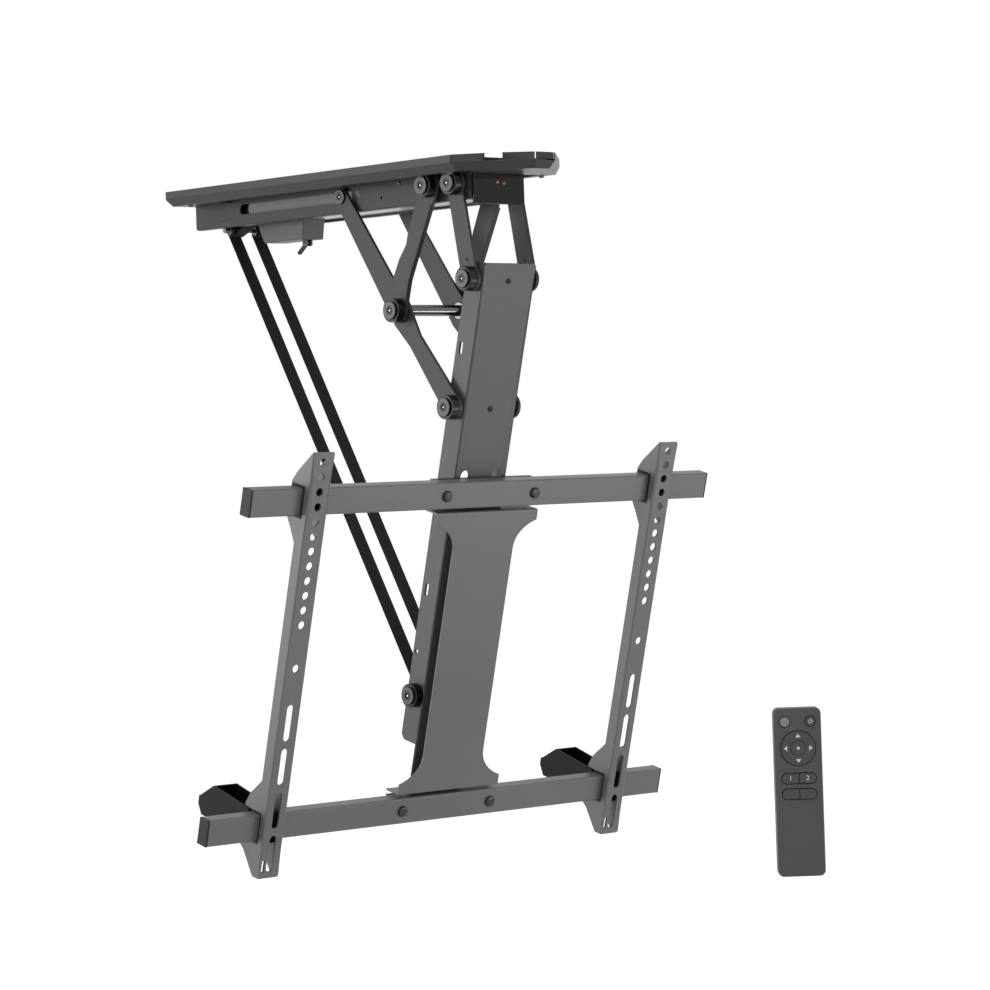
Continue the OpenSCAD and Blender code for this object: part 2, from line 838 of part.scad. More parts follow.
// Centre plate: an I of sheet with its top and bottom edges folded back
fold_gap = 3.7;
plate_lip = 11.5;
plate_neck = 29;
plate_top_z = bar_zs[0] - bar_h / 2 - fold_gap;
plate_low_z = bar_zs[1] + bar_h / 2 + fold_gap;
centre_t = 2;
neck_steps = 8;
neck_start = 25;
neck_draw = (plate_half_w - waist_half_w) / (1 - sin(neck_start));
neck_rise = plate_neck / cos(neck_start);
function neck_curve(side, z, way) = [for (i = [0:neck_steps])
    let (turn = neck_start + (90 - neck_start) * i / neck_steps)
    [side * (plate_half_w - neck_draw * (sin(turn) - sin(neck_start))),
        z + way * neck_rise * (cos(neck_start) - cos(turn))]];
function plate_edge(side) = concat([[side * plate_half_w, plate_top_z]],
    neck_curve(side, plate_top_z - plate_lip, -1),
    reversed(neck_curve(side, plate_low_z + plate_lip, 1)),
    [[side * plate_half_w, plate_low_z]]);

module centre_plate() {
    color("#3b3c3f") arm_frame() {
        translate([0, bar_face + centre_t, 0]) rotate([90, 0, 0]) linear_extrude(centre_t)
            polygon(concat(plate_edge(1), reversed(plate_edge(-1))));
        block([-plate_half_w, bar_face, plate_top_z - centre_t], [plate_half_w, -arm_face, plate_top_z]);
        block([-plate_half_w, bar_face, plate_low_z], [plate_half_w, -arm_face, plate_low_z + centre_t]);
    }
}

bar_screw_x = 60.6;
bar_screw_r = 6;
tie_screw_r = 3;
module frame_screws() {
    color("#b0b2b5") arm_frame() {
        for (side = [-1, 1], z = bar_zs) translate([side * bar_screw_x, bar_face, z])
            rotate([90, 0, 0]) pan_screw(bar_screw_r);
        for (z = tie_zs) translate([0, -arm_face, z]) rotate([90, 0, 0]) pan_screw(tie_screw_r);
    }
}

// Screen arms: folded channels that straddle the bars
screen_face = bar_face - screen_arm_gap - screen_arm_t;
screen_top = bar_zs[0] + screen_arm_up;
screen_low = screen_top - screen_arm_l;
cheek_x = screen_arm_w / 2;
lug_reach = 4;
low_lug_reach = 10;
neck_reach = 4;
lug_back = bar_back + lug_reach;
low_lug_back = bar_back + low_lug_reach;
neck_back = bar_face + neck_reach;
shallow_neck = 4;
shallow_back = screen_face + screen_arm_t + shallow_neck;
liner_t = 2;
liner_proud = 1;
hole_top = screen_top - hole_pitch * 2 / 3;
hole_count = 12;
single_hole_z = bar_zs[0] - bar_gap / 2;
long_slot_l = 38;
long_slot_count = 4;
long_slot_top = single_hole_z - hole_pitch * 15 / 4;
long_slot_zs = [for (i = [0:long_slot_count - 1]) long_slot_top - i * long_slot_l * 6 / 5];
key_slot = [3.4, 13];

function arm_edge(middle_back) = [
    [screen_face, screen_top], [screen_face + screen_arm_t, screen_top],
    [bar_back - liner_t, bar_zs[0] + bar_h], [lug_back, bar_zs[0] + bar_h / 2 + liner_t * 2],
    [lug_back, bar_zs[0] - bar_h / 2 - liner_t * 3], [bar_back - liner_t, bar_zs[0] - bar_h],
    [middle_back, bar_zs[0] - bar_h * 3 / 2], [middle_back, bar_zs[1] + bar_h * 7 / 4],
    [lug_back, bar_zs[1] + bar_h * 8 / 7], [low_lug_back, bar_zs[1] + bar_h * 5 / 7],
    [low_lug_back, bar_zs[1] - bar_h * 6 / 7], [lug_back, bar_zs[1] - bar_h],
    [bar_face, screen_low], [screen_face, screen_low]];

module bar_hole(x, room) {
    for (z = bar_zs) block([x - screen_arm_w, bar_face - room, z - bar_h / 2 - room],
        [x + screen_arm_w, bar_back + room, z + bar_h / 2 + room]);
}

module face_hole(x, z, l, w) {
    translate([x, screen_face - over, z]) rotate([-90, 0, 0])
        if (l > w) linear_extrude(screen_arm_t + over * 2) rotate(90) slot_2d(l, w);
        else cylinder(h = screen_arm_t + over * 2, r = w / 2);
}

module screen_arm(x) {
    arm_frame() difference() {
        union() {
            on_side(x - cheek_x, screen_arm_t) polygon(arm_edge(neck_back));
            on_side(x + cheek_x - screen_arm_t, screen_arm_t) polygon(arm_edge(shallow_back));
            block([x - cheek_x, screen_face, screen_low],
                [x + cheek_x, screen_face + screen_arm_t, screen_top]);
        }
        bar_hole(x, liner_t + gap);
        for (i = [0:hole_count - 1]) face_hole(x, hole_top - i * hole_pitch, 0, hole_d);
        face_hole(x, single_hole_z, 0, hole_d);
        for (z = long_slot_zs) face_hole(x, z, long_slot_l, hole_d);
        face_hole(x - hole_d, screen_low + key_slot[1], key_slot[1], key_slot[0]);
    }
}

module screen_arm_right() {
    color("#323336") screen_arm(screen_arm_x);
}

module screen_arm_left() {
    color("#323336") screen_arm(-screen_arm_x);
}

// Ceiling bumper: two five-sided cheeks outside the arm's folds, closed below and behind
bumper_t = 2.2;
bumper_back = bar_face + bumper_reach;
bumper_front = bar_back + gap * 3;
pad_t = 3;
pad_half = 4;
cheek_top = bar_zs[1] + bar_h * 4 / 7;
cheek_low = bar_zs[1] - bar_h / 2;
bumper_rise = bar_h * 3 / 4;
function bumper_rear(in) = [
    [bumper_back - bumper_rise - in, cheek_top + bumper_rise / 4],
    [bumper_back - in, bar_zs[1] + pad_half], [bumper_back - in, bar_zs[1] - pad_half],
    [bumper_back - bumper_rise / 3 - in, cheek_low]];

module bumper(x) {
    arm_frame() {
        for (x0 = [x - cheek_x - bumper_t, x + cheek_x]) on_side(x0, bumper_t)
            polygon(concat([[bumper_front, cheek_low], [bumper_front, cheek_top]], bumper_rear(0)));
        on_side(x - cheek_x - bumper_t, (cheek_x + bumper_t) * 2) {
            polygon(concat(bumper_rear(0), reversed(bumper_rear(bumper_t))));
            translate([low_lug_back + gap * 3, cheek_low])
                square([bumper_back - bumper_rise / 3 - low_lug_back - gap * 3, bumper_t]);
        }
    }
}

module bumper_right() {
    color("#303134") bumper(screen_arm_x);
}

module bumper_left() {
    color("#303134") bumper(-screen_arm_x);
}

// Plastic liners round the bars, and the rubber pad on the bumper
module arm_liners(x) {
    arm_frame() {
        difference() {
            for (i = [0, 1]) block([x - cheek_x - (1 - i) * liner_proud,
                    bar_face - gap - liner_t, bar_zs[i] - bar_h / 2 - gap - liner_t],
                [x + cheek_x + (1 - i) * liner_proud,
                    bar_back + gap + liner_t, bar_zs[i] + bar_h / 2 + gap + liner_t]);
            bar_hole(x, gap);
        }
        block([x - cheek_x, bumper_back, bar_zs[1] - pad_half],
            [x + cheek_x, bumper_back + pad_t, bar_zs[1] + pad_half]);
    }
}

module arm_liners_right() {
    color("#161617") arm_liners(screen_arm_x);
}

module arm_liners_left() {
    color("#161617") arm_liners(-screen_arm_x);
}

// Remote control, in its own frame: face towards -Y
remote_at = [173.5, -420.5, -654];
remote_wall = 2;
remote_join = 4;
round_key_r = 4.8;
round_key_shares = [0.27, 0.42];
round_key_x = remote_w * round_key_shares[0];
round_key_z = remote_l * round_key_shares[1];
ring_r = 17.3;
ring_share = 0.262;
ring_z = remote_l * ring_share;
ok_r = 7.5;
pill = [34, 10];
pill_shares = [0.083, -0.01];
pill_zs = remote_l * pill_shares;
key_proud = 1;
key_deep = remote_t / 2 - over;

module remote_place() {
    translate(remote_at) rotate([0, 0, -remote_turn]) children();
}

module round_rect(w, l, r) {
    square([w - 2 * r, l], center = true);
    square([w, l - 2 * r], center = true);
    for (sx = [-1, 1], sz = [-1, 1]) translate([sx * (w / 2 - r), sz * (l / 2 - r)]) circle(r);
}

module facing(y0, y1) {
    translate([0, y1, 0]) rotate([90, 0, 0]) linear_extrude(y1 - y0) children();
}

module remote_face() {
    color("#3d3e40") remote_place() difference() {
        facing(-remote_t / 2, remote_join) round_rect(remote_w, remote_l, remote_r);
        facing(-remote_t / 2 + remote_wall, remote_join + over)
            round_rect(remote_w - remote_wall * 2, remote_l - remote_wall * 2, remote_r - remote_wall);
        for (side = [-1, 1]) translate([side * round_key_x, -remote_t, round_key_z])
            rotate([-90, 0, 0]) cylinder(h = remote_t, r = round_key_r + gap);
        translate([0, -remote_t, ring_z]) rotate([-90, 0, 0]) cylinder(h = remote_t, r = ring_r + gap);
        for (z = pill_zs) facing(-remote_t, 0) translate([0, z])
            slot_2d(pill[0] + gap * 2, pill[1] + gap * 2);
    }
}

module remote_back() {
    color("#232425") remote_place() difference() {
        facing(remote_join, remote_t / 2) round_rect(remote_w, remote_l, remote_r);
        facing(remote_join - over, remote_t / 2 - remote_wall)
            round_rect(remote_w - remote_wall * 2, remote_l - remote_wall * 2, remote_r - remote_wall);
    }
}

cell_r = 5.2;
cell_l = 44;
cell_room = 1.8;
cell_z = pill_zs[1] - pill[0] / 2 - cell_room - cell_l;
module remote_batteries() {
    color("#8f9092") remote_place() for (side = [-1, 1])
        translate([side * (cell_r + gap), remote_t / 2 - remote_wall - cell_r - gap, cell_z])
            cylinder(h = cell_l, r = cell_r);
}

module key_pin(x, z, r) {
    remote_place() translate([x, -remote_t / 2 - key_proud, z]) rotate([-90, 0, 0])
        cylinder(h = key_deep, r = r);
}

module key_lamp() {
    color("#8b8c8e") key_pin(-round_key_x, round_key_z, round_key_r);
}

module key_power() {
    color("#8b8c8e") key_pin(round_key_x, round_key_z, round_key_r);
}

module key_ring() {
    color("#343536") remote_place() translate([0, -remote_t / 2 - key_proud, ring_z])
        rotate([-90, 0, 0]) difference() {
            cylinder(h = key_deep, r = ring_r);
            translate([0, 0, -over]) cylinder(h = key_deep + over * 2, r = ok_r + gap);
        }
}

module key_ok() {
    color("#343536") key_pin(0, ring_z, ok_r);
}

// One half of a pill-shaped pair of keys
module pill_key(side, z) {
    color("#343536") remote_place()
        facing(-remote_t / 2 - key_proud, -remote_t / 2 - key_proud + key_deep) intersection() {
            translate([0, z]) slot_2d(pill[0], pill[1]);
            translate([side * (pill[0] / 4 + gap / 2), z])
                square([pill[0] / 2 - gap, pill[1]], center = true);
        }
}

module key_one() {
    pill_key(-1, pill_zs[0]);
}

module key_two() {
    pill_key(1, pill_zs[0]);
}

module key_store_one() {
    pill_key(-1, pill_zs[1]);
}

module key_store_two() {
    pill_key(1, pill_zs[1]);
}

ceiling_plate();
cover_tray();
side_rail_left();
side_rail_right();
cross_plates();
belly_pan();
slot_guides();
sensor_panel();
sensor_lights();
circuit_boards();
lift_motor();
gear_head();
drum_brackets();
belt_drum();
guide_rollers();
lift_belts();
control_box();
limit_lever();
power_inlet();
unit_screws();
rail_pivot_bolts();
rail_pivot_sleeves();
slider_blocks();
link_a_left();
link_a_right();
link_a_bolts();
link_a_sleeves();
cross_shaft();
link_b_left();
link_b_right();
link_b_bolts();
link_b_sleeves();
front_links();
arm_channel();
arm_bolts();
arm_sleeves();
belt_anchor();
bar_saddles();
upper_bar();
lower_bar();
bar_end_caps();
centre_plate();
frame_screws();
screen_arm_left();
screen_arm_right();
arm_liners_left();
arm_liners_right();
bumper_left();
bumper_right();
remote_face();
remote_back();
remote_batteries();
key_lamp();
key_power();
key_ring();
key_ok();
key_one();
key_two();
key_store_one();
key_store_two();
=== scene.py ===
import json
import math

import bmesh
import bpy
from mathutils import Matrix, Vector
from mathutils.bvhtree import BVHTree


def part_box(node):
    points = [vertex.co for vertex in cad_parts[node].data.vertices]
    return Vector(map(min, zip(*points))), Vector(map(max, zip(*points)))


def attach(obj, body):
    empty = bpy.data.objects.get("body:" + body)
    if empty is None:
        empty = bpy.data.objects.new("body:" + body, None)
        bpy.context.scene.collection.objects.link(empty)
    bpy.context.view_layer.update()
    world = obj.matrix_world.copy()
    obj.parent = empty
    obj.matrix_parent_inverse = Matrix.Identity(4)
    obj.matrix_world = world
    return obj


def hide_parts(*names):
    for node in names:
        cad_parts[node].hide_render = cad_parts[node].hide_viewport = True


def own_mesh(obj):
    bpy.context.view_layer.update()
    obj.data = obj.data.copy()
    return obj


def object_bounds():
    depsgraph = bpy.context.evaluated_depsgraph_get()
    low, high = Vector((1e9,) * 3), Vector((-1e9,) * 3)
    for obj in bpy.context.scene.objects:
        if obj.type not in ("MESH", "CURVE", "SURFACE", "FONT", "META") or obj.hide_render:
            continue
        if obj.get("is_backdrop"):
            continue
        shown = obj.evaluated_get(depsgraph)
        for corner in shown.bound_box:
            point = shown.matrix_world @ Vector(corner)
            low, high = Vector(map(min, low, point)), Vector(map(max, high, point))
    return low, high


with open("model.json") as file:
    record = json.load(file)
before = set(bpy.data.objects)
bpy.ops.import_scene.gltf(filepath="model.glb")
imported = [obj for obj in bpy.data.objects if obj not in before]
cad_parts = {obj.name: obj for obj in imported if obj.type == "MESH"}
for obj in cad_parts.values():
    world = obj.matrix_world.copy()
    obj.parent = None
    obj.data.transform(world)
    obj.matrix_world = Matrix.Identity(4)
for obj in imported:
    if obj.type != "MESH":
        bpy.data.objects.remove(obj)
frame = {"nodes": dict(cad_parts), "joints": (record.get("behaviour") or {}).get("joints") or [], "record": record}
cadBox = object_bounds()

scene = bpy.context.scene
scene.view_settings.view_transform = "Standard"
mm = 0.001
record = frame["record"]
bodyOf = {node: body for body, nodes in record["behaviour"]["bodies"].items() for node in nodes}
slotOf = {part["node"]: part["material_slot"] for part in record["subparts"]}
joints = {joint["name"]: joint for joint in frame["joints"]}
mounts = {mount["name"]: mount for mount in record["mounts"]}


# The swinging arm has a frame of its own: Z runs up along it and Y to its back
screenNormal = Vector(mounts["screen_face_left"]["axis"])
armTilt = math.atan2(-screenNormal.z, -screenNormal.y)
armPlace = Matrix.Translation(joints["arm_fold"]["pos_m"]) @ Matrix.Rotation(armTilt, 4, "X")

# The remote control stands turned about Z, with its face to the front
keyPush = Vector(joints["key_ok_press"]["axis"])
remoteTurn = -math.atan2(keyPush.x, keyPush.y)


def camera():
    view = {
        "place": (-2.4659, -2.9031, -0.3138),
        "yaw": math.radians(42.061),
        "pitch": math.radians(-0.483),
        "roll": math.radians(-1.967),
        "lens": 130.13,
    }
    yaw, pitch, roll = view["yaw"], view["pitch"], view["roll"]
    ahead = Vector((math.sin(yaw) * math.cos(pitch), math.cos(yaw) * math.cos(pitch), math.sin(pitch)))
    level = Vector((math.cos(yaw), -math.sin(yaw), 0))
    upright = level.cross(ahead)
    right = level * math.cos(roll) + upright * math.sin(roll)
    up = upright * math.cos(roll) - level * math.sin(roll)
    data = bpy.data.cameras.new("camera")
    data.lens = view["lens"]
    data.sensor_width = 36
    data.clip_start, data.clip_end = 0.1, 100
    eye = bpy.data.objects.new("camera", data)
    scene.collection.objects.link(eye)
    eye.matrix_world = Matrix.Translation(view["place"]) @ Matrix((right, up, -ahead)).transposed().to_4x4()
    scene.camera = eye


# Shader tools

class Wire:
    # A socket in a material, on which sums and products add Math nodes
    def __init__(self, finish, socket):
        self.finish = finish
        self.socket = socket

    def calc(self, operation, *terms):
        return self.finish.node("ShaderNodeMath", {"operation": operation}, dict(enumerate(terms)))

    def __add__(self, other):
        return self.calc("ADD", self, other)

    def __sub__(self, other):
        return self.calc("SUBTRACT", self, other)

    def __rsub__(self, other):
        return self.calc("SUBTRACT", other, self)

    def __mul__(self, other):
        return self.calc("MULTIPLY", self, other)

    __radd__ = __add__
    __rmul__ = __mul__

    def sine(self):
        return self.calc("SINE", self)


class Finish:
    # One material, with its Principled shader and its Object coordinates
    def __init__(self, name, colour, roughness, **fixed):
        self.material = bpy.data.materials.new(name)
        self.material.use_nodes = True
        self.material.diffuse_color = (*colour, 1)
        self.tree = self.material.node_tree
        self.shader = self.tree.nodes["Principled BSDF"]
        self.set("Base Color", (*colour, 1))
        self.set("Roughness", roughness)
        for socket, value in fixed.items():
            self.set(socket.replace("_", " "), value)
        self.place = self.node("ShaderNodeTexCoord", {}, {}, "Object")

    def node(self, kind, settings, sockets, output=0):
        made = self.tree.nodes.new(kind)
        for name, value in settings.items():
            setattr(made, name, value)
        for name, value in sockets.items():
            self.feed(made.inputs[name], value)
        return Wire(self, made.outputs[output])

    def feed(self, socket, value):
        if isinstance(value, Wire):
            self.tree.links.new(value.socket, socket)
        else:
            socket.default_value = value

    def set(self, socket, value):
        self.feed(self.shader.inputs[socket], value)

    def turned(self, angles=(0, 0, 0), stretch=(1, 1, 1), place=None):
        sockets = {"Vector": place or self.place, "Rotation": angles, "Scale": stretch}
        return self.node("ShaderNodeMapping", {}, sockets)

    def noise(self, scale, detail=3, place=None):
        sockets = {"Vector": place or self.place, "Scale": scale, "Detail": detail}
        return self.node("ShaderNodeTexNoise", {}, sockets)

    def axis(self, place, number):
        return self.node("ShaderNodeSeparateXYZ", {}, {0: place}, number)

    def between(self, low, high, share):
        sockets = {0: share, 6: (*low, 1), 7: (*high, 1)}
        return self.node("ShaderNodeMix", {"data_type": "RGBA"}, sockets, 2)

    def bump(self, height, depth, strength):
        sockets = {"Height": height, "Distance": depth, "Strength": strength}
        self.set("Normal", self.node("ShaderNodeBump", {}, sockets))


def shades(colour, spread):
    return [c * (1 - spread) for c in colour], [c * (1 + spread) for c in colour]


# Finishes

def powderCoat(name, colour, roughness, grain=900, depth=0.03 * mm, **fixed):
    # Fine orange peel, and a faint cloudiness over a whole panel
    coat = {
        "spread": 0.14,
        "cloudScale": 7,
        "cloudShare": 0.7,
        "peelGloss": 0.16,
        "cloudGloss": 0.1,
        "relief": 0.55,
    }
    finish = Finish(name, colour, roughness, **fixed)
    peel = finish.noise(grain, 2)
    cloud = finish.noise(coat["cloudScale"], 4)
    tone = cloud * coat["cloudShare"] + peel * (1 - coat["cloudShare"])
    finish.set("Base Color", finish.between(*shades(colour, coat["spread"]), tone))
    gloss = (peel - 0.5) * coat["peelGloss"] + (cloud - 0.5) * coat["cloudGloss"]
    finish.set("Roughness", gloss + roughness)
    finish.bump(peel, depth, coat["relief"])
    return finish.material


def mouldedPlastic(name, colour, roughness, grain=1600, depth=0.02 * mm, **fixed):
    # The fine texture that a spark-eroded mould leaves
    mould = {"spread": 0.1, "cloudScale": 22, "gloss": 0.2, "relief": 0.5}
    finish = Finish(name, colour, roughness, **fixed)
    spark = finish.noise(grain, 4)
    cloud = finish.noise(mould["cloudScale"], 2)
    finish.set("Base Color", finish.between(*shades(colour, mould["spread"]), cloud))
    finish.set("Roughness", (spark - 0.5) * mould["gloss"] + roughness)
    finish.bump(spark, depth, mould["relief"])
    return finish.material


def brushedMetal(name, colour, roughness, stretch, grain=500):
    # Lines drawn out along the axis whose stretch is small, and a few blotches
    brush = {
        "spread": 0.16,
        "blotchScale": 30,
        "lineShare": 0.6,
        "lineGloss": 0.24,
        "blotchGloss": 0.12,
        "depth": 0.01 * mm,
        "relief": 0.4,
    }
    finish = Finish(name, colour, roughness, Metallic=1.0)
    line = finish.noise(grain, 5, finish.turned(stretch=stretch))
    blotch = finish.noise(brush["blotchScale"], 3)
    tone = line * brush["lineShare"] + blotch * (1 - brush["lineShare"])
    finish.set("Base Color", finish.between(*shades(colour, brush["spread"]), tone))
    gloss = (line - 0.5) * brush["lineGloss"] + (blotch - 0.5) * brush["blotchGloss"]
    finish.set("Roughness", gloss + roughness)
    finish.bump(line, brush["depth"], brush["relief"])
    return finish.material


def turnedMetal(name, colour, roughness, pitch):
    # Rings of a lathe tool, which follow the radius stored in the piece's UV map
    turning = {"spread": 0.3, "speckScale": 700, "gloss": 0.3, "depth": 0.02 * mm, "relief": 0.6}
    finish = Finish(name, colour, roughness, Metallic=1.0)
    spot = finish.node("ShaderNodeTexCoord", {}, {}, "UV")
    ring = (finish.axis(spot, 0) * (math.tau / pitch)).sine() * 0.5 + 0.5
    speck = finish.noise(turning["speckScale"], 3)
    finish.set("Base Color", finish.between(*shades(colour, turning["spread"]), speck))
    finish.set("Roughness", (speck - 0.5) * turning["gloss"] + roughness)
    finish.bump(ring, turning["depth"], turning["relief"])
    return finish.material


def wovenBelt(name, colour, angle):
    # Weft ribs across the belt and a twill that steps along it
    cloth = {
        "rib": 1.6 * mm,
        "cord": 1.1 * mm,
        "twill": 4.4 * mm,
        "twillSlope": 0.7,
        "ribShare": 0.3,
        "twillShare": 0.2,
        "fibreScale": 1900,
        "fibreRelief": 0.4,
        "spread": 0.45,
        "weaveShare": 0.7,
        "roughness": 0.66,
        "gloss": 0.12,
        "depth": 0.25 * mm,
        "relief": 0.8,
    }
    finish = Finish(name, colour, 0.75, Sheen_Weight=0.06, Sheen_Roughness=0.4, Specular_IOR_Level=0.2)
    run = finish.turned((angle, 0, 0))
    across, along = finish.axis(run, 0), finish.axis(run, 2)
    rib = (along * (math.tau / cloth["rib"])).sine()
    cord = (across * (math.tau / cloth["cord"])).sine()
    twill = ((along + across * cloth["twillSlope"]) * (math.tau / cloth["twill"])).sine()
    weave = (rib * cord) * cloth["ribShare"] + twill * cloth["twillShare"] + 0.5
    fibre = finish.noise(cloth["fibreScale"], 3)
    tone = weave * cloth["weaveShare"] + fibre * (1 - cloth["weaveShare"])
    finish.set("Base Color", finish.between(*shades(colour, cloth["spread"]), tone))
    finish.set("Roughness", weave * cloth["gloss"] + cloth["roughness"])
    finish.bump(weave + fibre * cloth["fibreRelief"], cloth["depth"], cloth["relief"])
    return finish.material


def litLens(name, colour, glow):
    lens = {"roughness": 0.12, "hazeScale": 900, "spread": 0.35}
    finish = Finish(name, colour, lens["roughness"], Coat_Weight=0.6, Emission_Strength=glow)
    haze = finish.noise(lens["hazeScale"], 2)
    finish.set("Emission Color", finish.between(*shades(colour, lens["spread"]), haze))
    return finish.material


def circuitBoard(name, colour, copper):
    # Square copper lands on lacquer, 260 to the metre
    lands = {"scale": 260, "size": 0.32, "roughness": 0.45, "gloss": 0.15}
    finish = Finish(name, colour, 0.42, Coat_Weight=0.3)
    cells = {"Vector": finish.place, "Scale": lands["scale"]}
    track = finish.node("ShaderNodeTexVoronoi", {"distance": "CHEBYCHEV"}, cells)
    mask = track.calc("LESS_THAN", track, lands["size"])
    finish.set("Base Color", finish.between(colour, copper, mask))
    finish.set("Roughness", lands["roughness"] - mask * lands["gloss"])
    return finish.material


print("finishes")
rollerLow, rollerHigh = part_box("guide_rollers")
anchorLow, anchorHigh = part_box("belt_anchor")
beltTop = (rollerLow + rollerHigh) / 2
beltFoot = (anchorLow + anchorHigh) / 2
beltRun = Vector((0, *(beltTop - beltFoot)[1:])).normalized()

evenly = (1, 1, 1)
finishes = {
    "coated": powderCoat("powderCoatCharcoal", (0.046, 0.047, 0.048), 0.4, Specular_IOR_Level=0.22),
    "coverCoat": powderCoat("powderCoatCover", (0.042, 0.043, 0.044), 0.36, Specular_IOR_Level=0.25),
    "armCoat": powderCoat("powderCoatArm", (0.084, 0.085, 0.086), 0.42, Specular_IOR_Level=0.4),
    "frameCoat": powderCoat("powderCoatFrame", (0.148, 0.149, 0.15), 0.4),
    "linkCoat": powderCoat("powderCoatLinks", (0.041, 0.042, 0.043), 0.38, Specular_IOR_Level=0.25),
    # The belly pan's pale colour is painted reflection: it stands in for the white that the pan's underside
    # reflects
    "panCoat": powderCoat("powderCoatPanPaintedReflection", (0.72, 0.722, 0.725), 0.28, depth=0.006 * mm),
    # The bumpers' coat is near black, darkened further to cancel the light that falls on them from above: painted
    # shade
    "bumperCoat": powderCoat("powderCoatBumperPaintedShade", (0.005, 0.005, 0.0055), 0.5, Specular_IOR_Level=0.15),
    "zinc": brushedMetal("zincPlate", (0.1, 0.102, 0.106), 0.36, (1, 0.03, 1)),
    "slideStrip": mouldedPlastic("slideStrip", (0.15, 0.151, 0.153), 0.5),
    "slider": mouldedPlastic("sliderNylon", (0.72, 0.72, 0.7), 0.4),
    "blackOxide": brushedMetal("blackOxide", (0.045, 0.046, 0.048), 0.3, evenly, 900),
    "turned": turnedMetal("turnedFace", (0.075, 0.075, 0.077), 0.42, 1.1 * mm),
    # The bright socket pins are a painted glint: they stand in for the sparkle in each hex socket
    "spark": brushedMetal("socketGlintPin", (0.85, 0.85, 0.86), 0.12, evenly, 300),
    "shaft": brushedMetal("shaftSteel", (0.13, 0.132, 0.137), 0.16, (0.02, 1, 1), 700),
    "sleeve": mouldedPlastic("sleeveBlack", (0.006, 0.006, 0.0065), 0.3, Specular_IOR_Level=0.25),
    "plastic": mouldedPlastic("blackPlastic", (0.012, 0.012, 0.0125), 0.46, Specular_IOR_Level=0.25),
    "boxPlastic": mouldedPlastic("boxPlastic", (0.058, 0.059, 0.06), 0.45),
    "window": mouldedPlastic(
        "darkWindow", (0.004, 0.004, 0.005), 0.1, 300, 0.003 * mm, Specular_IOR_Level=0.25),
    "redLens": litLens("redLens", (0.85, 0.02, 0.02), 2.2),
    # The receiver eye is a dark glossy lens; its green-blue tint is painted reflection
    "eye": mouldedPlastic("receiverEye", (0.01, 0.03, 0.028), 0.06, 300, 0.003 * mm, Coat_Weight=1.0),
    "belt": wovenBelt("beltWeave", (0.008, 0.008, 0.0085), math.atan2(beltRun.y, beltRun.z)),
    "board": circuitBoard("circuitBoard", (0.012, 0.09, 0.035), (0.2, 0.14, 0.05)),
    "motor": powderCoat("motorCan", (0.05, 0.05, 0.055), 0.35, 1200),
    "casting": brushedMetal("gearCasting", (0.4, 0.41, 0.42), 0.5, evenly, 350),
    "cell": brushedMetal("cellSleeve", (0.25, 0.25, 0.27), 0.35, (1, 1, 0.05)),
    "remote": mouldedPlastic("remoteShell", (0.05, 0.051, 0.052), 0.44, 1300),
    "remoteRear": mouldedPlastic("remoteRear", (0.022, 0.022, 0.024), 0.5),
    "key": mouldedPlastic("keyRubber", (0.05, 0.051, 0.053), 0.55),
    "greyKey": mouldedPlastic("keyGrey", (0.26, 0.26, 0.27), 0.5),
    "blackPrint": mouldedPlastic("printBlack", (0.004, 0.004, 0.004), 0.5, Specular_IOR_Level=0.2),
    "whitePrint": mouldedPlastic("printWhite", (0.8, 0.8, 0.8), 0.5),
}


# Mesh tools

cleaning = {"merge": 0.0001 * mm, "closeMerge": 0.001 * mm, "flat": math.radians(0.2)}
edgeTest = {
    "sharp": math.radians(30),
    "inset": 0.2 * mm,
    "lift": 0.02 * mm,
    "slotReach": 14 * mm,
    "foldSteps": 5,
}
whole = Matrix.Identity(4)


def pieceName(node):
    words = node.split("_")
    return words[0] + "".join(word.capitalize() for word in words[1:])


def nodeShape(node, place=whole):
    # A merged copy of a CAD node's mesh, in the frame given by place, with its flat faces joined
    # Concave faces are split again, because a bevel beside one can close its opening with a sheet
    shape = bmesh.new()
    shape.from_mesh(frame["nodes"][node].data)
    bmesh.ops.remove_doubles(shape, verts=shape.verts, dist=cleaning["merge"])
    bmesh.ops.dissolve_limit(shape, angle_limit=cleaning["flat"], verts=shape.verts, edges=shape.edges)
    bmesh.ops.connect_verts_concave(shape, faces=list(shape.faces))
    bmesh.ops.transform(shape, matrix=place.inverted(), verts=shape.verts)
    return shape


def islands(shape):
    # The separate solids of a mesh, each as its lowest and highest corner
    left = set(shape.verts)
    found = []
    while left:
        front = [left.pop()]
        members = list(front)
        while front:
            near = {edge.other_vert(vert) for vert in front for edge in vert.link_edges} & left
            left -= near
            front = list(near)
            members += front
        found.append([Vector([pick(v.co[i] for v in members) for i in range(3)]) for pick in (min, max)])
    return found


def solidsOf(node, place=whole):
    shape = nodeShape(node, place)
    found = islands(shape)
    shape.free()
    return found


def roundEdges(shape, edges, width, segments):
    if edges:
        bmesh.ops.bevel(
            shape, geom=edges, offset=width, offset_type="OFFSET", segments=segments, profile=0.5,
            affect="EDGES", material=-1, clamp_overlap=False)


def settle(shape, name, finish, body, slot, replaced=(), smooth=34):
    mesh = bpy.data.meshes.new(name)
    shape.to_mesh(mesh)
    shape.free()
    mesh.materials.append(finishes[finish])
    mesh.shade_smooth()
    mesh.set_sharp_from_angle(angle=math.radians(smooth))
    piece = bpy.data.objects.new(name, mesh)
    scene.collection.objects.link(piece)
    evened = piece.modifiers.new("evenNormals", "WEIGHTED_NORMAL")
    evened.keep_sharp = True
    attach(piece, body)
    if replaced:
        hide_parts(*replaced)
    return piece


def isSharp(edge):
    return edge.is_manifold and edge.is_convex and edge.calc_face_angle(0) > edgeTest["sharp"]


